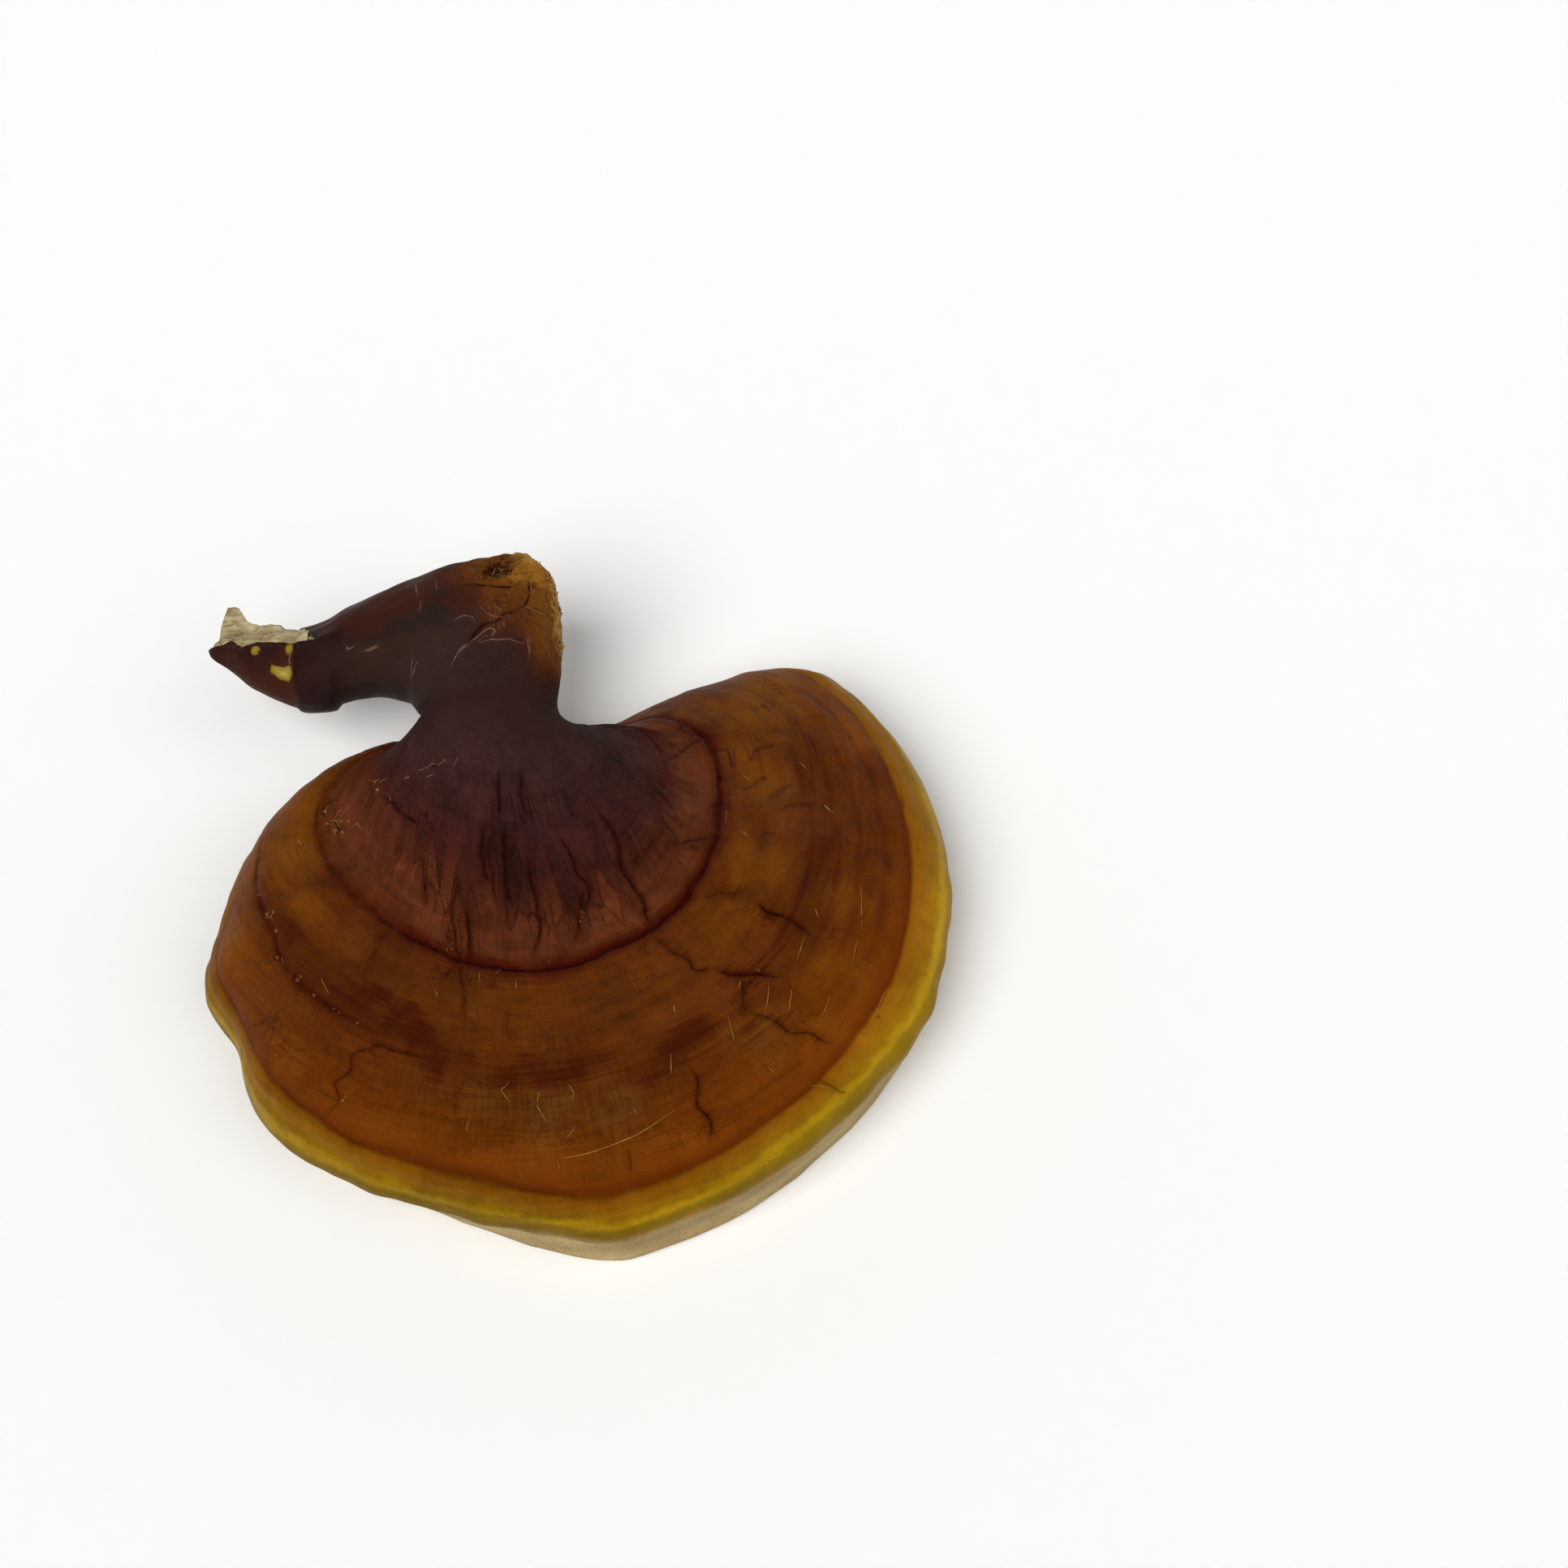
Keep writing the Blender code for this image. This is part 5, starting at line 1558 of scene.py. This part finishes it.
def flakeShape(tree, given):
    # a thin plate whose ends curl up, with one end narrower
    width = addNode(tree, "Math", {0: given["Size"], 1: flakes["widthShare"]}, operation="MULTIPLY")
    size = addNode(tree, "CombineXYZ", {0: given["Size"], 1: width, 2: given["Thickness"]})
    plate = addNode(tree, "GeometryNodeMeshCube", {0: size, **dict(enumerate(flakes["vertices"], 1))})
    place = addNode(tree, "SeparateXYZ", {0: addNode(tree, "GeometryNodeInputPosition")})
    share = addNode(tree, "Math", {0: place.outputs[0], 1: given["Size"]}, operation="DIVIDE")
    lift = share
    for amount in (share, given["Curl"], given["Size"], 4.0):
        lift = addNode(tree, "Math", {0: lift, 1: amount}, operation="MULTIPLY")
    narrow = addNode(tree, "Math", {0: share, 1: place.outputs[1]}, operation="MULTIPLY")
    narrow = addNode(tree, "Math", {0: narrow, 1: -flakes["narrowing"]}, operation="MULTIPLY")
    moved = addNode(tree, "CombineXYZ", {1: narrow, 2: lift})
    return addNode(tree, "GeometryNodeSetPosition", {0: plate, 3: moved})


def hairTree(name, numbers, material):
    # a round fibre along every line, as thick as the line's "taper" says
    tree, given = newTree(name, numbers)
    line = addNode(tree, "GeometryNodeMeshToCurve", {0: given["Mesh"]})
    radius = addNode(tree, "Math", {0: given["Thickness"], 1: 0.5}, operation="MULTIPLY")
    ring = addNode(tree, "GeometryNodeCurvePrimitiveCircle", {0: given["Sides"], 4: radius})
    taper = addNode(tree, "GeometryNodeInputNamedAttribute", {0: "taper"}, data_type="FLOAT")
    tube = addNode(tree, "GeometryNodeCurveToMesh", {0: line, 1: ring, 2: taper, 3: True})
    endTree(tree, tube, material)
    return tree


def fleshMaterial():
    # Torn flesh: bundles of dry fibres pulled apart, not ground or cut. It looks like cream felt, with
    # fine streaks along the stem; the fibres are 0.01 mm thick and are drawn 0.4 mm thick so that they show.
    material, tree, shader = newMaterial("torn dry flesh", Roughness=0.9, Specular_IOR_Level=0.2)
    place = addNode(tree, "TexCoord").outputs["Object"]
    drawn = addNode(tree, "VectorMath", {0: place, 1: (300.0, 1600.0, 1600.0)}, operation="MULTIPLY")
    streaks = addNode(tree, "TexNoise", {"Vector": drawn, "Scale": 1.0, "Detail": 3.0})
    blotches = addNode(tree, "TexNoise", {"Vector": place, "Scale": 330.0, "Detail": 3.0})
    both = addNode(tree, "Math", {0: streaks, 1: blotches}, operation="ADD")
    both = addNode(tree, "Math", {0: both, 1: 0.5}, operation="MULTIPLY")
    stops = [(0.34, "66563a"), (0.48, "a09069"), (0.62, "bcae8b")]
    cream = addNode(tree, "ValToRGB", {0: both}, stops=stops)
    bump = addNode(tree, "Bump", {"Strength": 0.8, "Distance": 0.3 * mm, "Height": both})
    wireShader(tree, shader, Base_Color=cream, Normal=bump)
    return material


def splitSkinAndGlintMaterial(name, dark, pale, gloss):
    # Split skin: slivers of the resin skin that came away as it dried. They are thin enough to let light
    # through, so they look paler and more golden than the crust, and their edges shine.
    # Their pale colour also stands for glints: partly a painted highlight.
    material, tree, shader = newMaterial(name, Specular_IOR_Level=gloss, Specular_Tint=hexColour("f0c878"))
    place = addNode(tree, "TexCoord").outputs["Object"]
    patches = addNode(tree, "TexNoise", {"Vector": place, "Scale": 700.0, "Detail": 2.0})   # 1.4 mm
    colour = addNode(tree, "ValToRGB", {0: patches}, stops=[(0.4, dark), (0.62, pale)])
    rough = addNode(tree, "MapRange", {0: patches, 1: 0.3, 2: 0.7, 3: 0.3, 4: 0.6})
    wireShader(tree, shader, Base_Color=colour, Roughness=rough)
    return material


def finishPiece(piece):
    printTriangles(piece)
    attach(piece, "root")


def stemPoint(across, up, lift):
    side, upPlane, out = stemFrame()
    parts = [np.asarray(part, float)[..., None] for part in (across, up, lift)]
    return np.array(stem["base"]) + side * parts[0] + upPlane * parts[1] + out * parts[2]


def outerLift(across, up, free):
    # how far the finished stem stands out at places in its plane, and the free lift where it doesn't reach
    side, upPlane, out = stemFrame()
    outer = (surface.lift > -1.0) & (surface.growth < 0.15)[:, None]
    local = rows[outer] - np.array(stem["base"])
    near = (local[:, 0] > across.min() - 2) & (local[:, 0] < across.max() + 2)
    local = local[near]
    stemAcross, stemUp, stemLift = local @ side, local @ upPlane, local @ out
    reach, freeShare = 0.5, 0.05        # mm, and how much the free lift counts
    lift = np.empty(across.shape)
    for place in np.ndindex(across.shape):
        share = bell(np.hypot(stemAcross - across[place], stemUp - up[place]), reach)
        lift[place] = ((share * stemLift).sum() + freeShare * free[place]) / (share.sum() + freeShare)
    return lift


def buildWisp(material):
    # a thin closed sheet over the torn face: its front and back are grids that meet all round
    count, steps = wisp["columns"], wisp["rows"]
    across = np.linspace(wisp["top"][0][0], wisp["top"][-1][0], count)
    root = along(tornEnd["edge"], across) - wisp["rootDepth"]
    top = np.maximum(along(wisp["top"], across), root + wisp["leastHeight"])
    spots = np.stack([across, 0 * across, 0 * across], axis=1)
    top = top + softNoise(spots, 0.9, 60) * wisp["ragged"] * smoothStep(0, 1.5, top - root)
    root = root + softNoise(spots, 0.8, 61) * wisp["ragged"] * 0.6
    share = np.linspace(0, 1, steps)[:, None]
    up = root + (top - root) * share
    wide = np.broadcast_to(across, up.shape)
    free = 0.4 - wisp["lean"] * (up - 18.5)
    lift = outerLift(wide, up, free) + wisp["clear"]
    flat = np.stack([wide, up, 0 * up], axis=2)
    loose = smoothStep(*wisp["looseFrom"], share) * np.ones_like(up)
    lift += wisp["folds"] * loose * (softNoise(flat * (1, 0.35, 1), 1.9, 62) + 0.4 * softNoise(flat, 0.8, 63))
    lift += 0.15 * softNoise(flat * (0.4, 1, 1), 0.6, 64)
    rootThick, edgeThick = wisp["thickness"]
    sides = np.minimum(np.arange(count), np.arange(count)[::-1]) / wisp["taperColumns"]
    thick = edgeThick + (rootThick - edgeThick) * (1 - share) * np.clip(sides, 0, 1)
    sheets = [stemPoint(wide, up, lift + side * thick) for side in (0.5, -0.5)]
    vertices = np.reshape(sheets, (-1, 3))

    # front, back, root, top and the two ends, and whether each is turned over
    front, back = np.arange(len(vertices)).reshape(2, steps, count)
    faces = []
    for grid, turned in (
        (front, False), (back, True), ((front[0], back[0]), True), ((front[-1], back[-1]), False),
        ((front[:, 0], back[:, 0]), False), ((front[:, -1], back[:, -1]), True),
    ):
        faces += gridFaces(grid, turned)
    mesh = bpy.data.meshes.new("tornWisp")
    mesh.from_pydata(((vertices + cadShift) * mm).tolist(), [], faces)
    mesh.shade_smooth()
    mesh.materials.append(material)
    return linkPiece("tornWisp", mesh)


def buildStrands(name, setting, near, towards, material):
    # fibres rooted at random places of the fine grid where near is true
    numbers = {
        "Length": setting["length"] * mm, "Thickness": setting["thickness"] * mm, "Spread": setting["spread"],
        "Bend": setting["bend"], "Seed": setting["seed"],
    }
    random = np.random.default_rng(setting["seed"])
    spots = np.argwhere(near)
    spots = spots[random.integers(0, len(spots), setting["count"])]
    normals = surface.normals[spots[:, 0], spots[:, 1]]
    points = rows[spots[:, 0], spots[:, 1]] - normals * strands["rootDepth"]
    lie = towards(points) + normals * strands["outwards"]
    return grow(name, strewTree(name, numbers, strandShape, material), numbers, points, lie=lie)


def buildHairs(name, place, material):
    numbers = {"Thickness": hairs["thickness"] * mm, "Sides": hairs["sides"]}
    points, edges, taper = [], [], []
    share = np.linspace(0, 1, hairs["points"])
    swayShare = np.linspace(0, 1, hairs["swayPoints"])
    for index, path in enumerate(hairs[place]):
        first, second = alongPoints(share * (len(path) - 1), np.arange(len(path)), path).T
        if place != "onStem":
            line = surface.pointAt(first, second, rows)
            normals = surface.pointAt(first, second, surface.normals)
        else:
            line = stemPoint(first, second, outerLift(first, second, 0 * first))
            normals = np.broadcast_to(stemFrame()[2], line.shape)
        random = np.random.default_rng(200 + index)
        sway = random.normal(0, hairs["sway"], (hairs["swayPoints"], 3))
        line = line + alongPoints(share, swayShare, sway)
        rise = random.uniform(*hairs["rise"])
        line = line + normals * (hairs["clear"] + rise * np.sin(math.pi * share))[:, None]
        edges += [(len(points) + step, len(points) + step + 1) for step in range(len(line) - 1)]
        points += list(line)
        taper += list((0.25 + 0.75 * np.sin(math.pi * share) ** 0.7) * random.uniform(*hairs["vary"]))
    return grow(name, hairTree(name, numbers, material), numbers, points, edges, taper=taper)


def buildFlakes(material):
    numbers = {
        "Size": flakes["size"] * mm, "Thickness": flakes["thickness"] * mm, "Curl": flakes["curl"],
        "Spread": flakes["spread"], "Seed": flakes["seed"],
    }
    random = np.random.default_rng(flakes["seed"])
    flat = rows.reshape(-1, 3)
    flatNormals = surface.normals.reshape(-1, 3)
    chosen = []
    ring = rings[1]["path"]
    spots = list(flakes["spots"])
    places, each, scatter = flakes["alongRing"]
    first, last = (ring[end][0] + flakes["ringEnds"][end] for end in (0, -1))
    for direction in np.linspace(first, last, places):
        spots.append((direction, float(around(ring, np.array([direction]))[0]), each, scatter))
    for direction, growth, count, scatter in spots:
        middle = surface.pointAt(np.array([direction]), np.array([growth]), rows)[0]
        for step in random.normal(0, scatter * 0.6, (count, 3)):
            chosen.append(np.argmin(((flat - middle - step) ** 2).sum(axis=1)))
    count, least = flakes["onRim"]
    onRim = np.flatnonzero((marks["rim"] > least).ravel())
    chosen += list(onRim[random.integers(0, len(onRim), count)])
    points = flat[chosen] + flatNormals[chosen] * flakes["clear"]
    tree = strewTree("driedFlakesAndGlints", numbers, flakeShape, material)
    return grow("driedFlakesAndGlints", tree, numbers, points, lie=flatNormals[chosen])


def towardsTip(points):
    return np.tile((-0.9, 0.15, 0.1), (len(points), 1))


def acrossPit(points):
    middle = stemPoint(*knob["pit"]["middle"], 7.0)
    away = middle - points
    return away / np.linalg.norm(away, axis=1)[:, None]


flesh = fleshMaterial()
finishPiece(buildWisp(flesh))
tornFace = (marks["torn"] > 0) & (surface.lift > -3) & (surface.across > -52.5)
finishPiece(buildStrands("tornFibres", strands["torn"], tornFace, towardsTip, flesh))
brownSkinAndGlint = splitSkinAndGlintMaterial("split brown skin and glint", "48270f", "7c5020", 0.3)
pitEdge = (marks["pit"] > 0.75) & (marks["pit"] < 1.35)
finishPiece(buildStrands("pitFibres", strands["pit"], pitEdge, acrossPit, brownSkinAndGlint))
finishPiece(buildFlakes(brownSkinAndGlint))
# the pale fibres also stand for glints: painted highlights
finishPiece(buildHairs("capHairsAndGlints", "onCap", splitSkinAndGlintMaterial("pale split fibre and glint", "8a6430", "b48a4c", 0.3)))
greySkinAndGlint = splitSkinAndGlintMaterial("grey lifted skin and glint", "6a5244", "9a8470", 0.3)
finishPiece(buildHairs("stemHairsAndGlints", "onStem", greySkinAndGlint))
finishPiece(buildHairs("footHairsAndGlints", "onFoot", greySkinAndGlint))

studio = {
    "floorRadius": 2.2,
    "wallRadius": 3.4,
    "wallHeight": 1.5,
    "curveSteps": 12,           # from the floor to the wall
    "facets": 96,
    "floorColour": "fdfdfb",
    "skyColour": "f4f5f6",
    "skyPower": 0.09,
    "lights": [                 # turn in degrees, power, spread in degrees
        ((40.0, 0.0, -34.0), 2.6, 44.0),       # key: high, in front and to the left
        ((50.0, 0.0, 62.0), 0.9, 60.0),        # fill: in front and to the right
    ],
}


def buildStudio():
    # a pale floor that curves up into a low wall all round, under soft lights
    profile = [(studio["floorRadius"], 0.0)]
    for angle in np.linspace(0, math.pi / 2, studio["curveSteps"] + 1)[1:]:
        profile.append((
            studio["floorRadius"] + (studio["wallRadius"] - studio["floorRadius"]) * math.sin(angle),
            studio["wallHeight"] * (1 - math.cos(angle)),
        ))
    count = studio["facets"]
    vertices = [(0.0, 0.0, 0.0)]
    for radius, height in profile:
        for step in range(count):
            angle = 2 * math.pi * step / count
            vertices.append((radius * math.cos(angle), radius * math.sin(angle), height))
    numbers = 1 + np.arange(len(profile) * count).reshape(-1, count)
    numbers = np.hstack([numbers, numbers[:, :1]])
    faces = [(0, int(low), int(high)) for low, high in zip(numbers[0], numbers[0, 1:])]
    faces += gridFaces(numbers, turned=True)
    mesh = bpy.data.meshes.new("studioFloor")
    mesh.from_pydata(vertices, [], faces)
    mesh.shade_smooth()
    floor = linkPiece("studioFloor", mesh)
    paper = {"Base_Color": hexColour(studio["floorColour"]), "Roughness": 0.9, "Specular_IOR_Level": 0.2}
    mesh.materials.append(newMaterial("matt white paper", **paper)[0])

    for index, (turn, power, spread) in enumerate(studio["lights"]):
        light = bpy.data.lights.new("softLight" + str(index), "SUN")
        light.energy = power
        light.angle = math.radians(spread)
        lamp = linkPiece(light.name, light)
        lamp.rotation_euler = [math.radians(value) for value in turn]

    world = bpy.data.worlds.new("paleRoom")
    world.use_nodes = True
    sky = world.node_tree.nodes["Background"]
    sky.inputs["Color"].default_value = hexColour(studio["skyColour"])
    sky.inputs["Strength"].default_value = studio["skyPower"]
    bpy.context.scene.world = world
    bpy.context.scene.view_settings.view_transform = "Standard"


def buildCamera():
    elevation = math.radians(view["elevation"])
    lookAlong = np.array([0.0, math.cos(elevation), -math.sin(elevation)])
    place = np.array(view["target"]) - lookAlong * view["distance"] + cadShift
    data = bpy.data.cameras.new("photoView")
    data.lens = view["lens"]
    data.sensor_width = view["filmWidth"]
    data.dof.use_dof = False
    camera = linkPiece("photoView", data)
    camera.location = place * mm
    camera.rotation_euler = (math.radians(90 - view["elevation"]), 0.0, 0.0)
    bpy.context.scene.camera = camera


buildStudio()
buildCamera()
print("studio and camera ready")
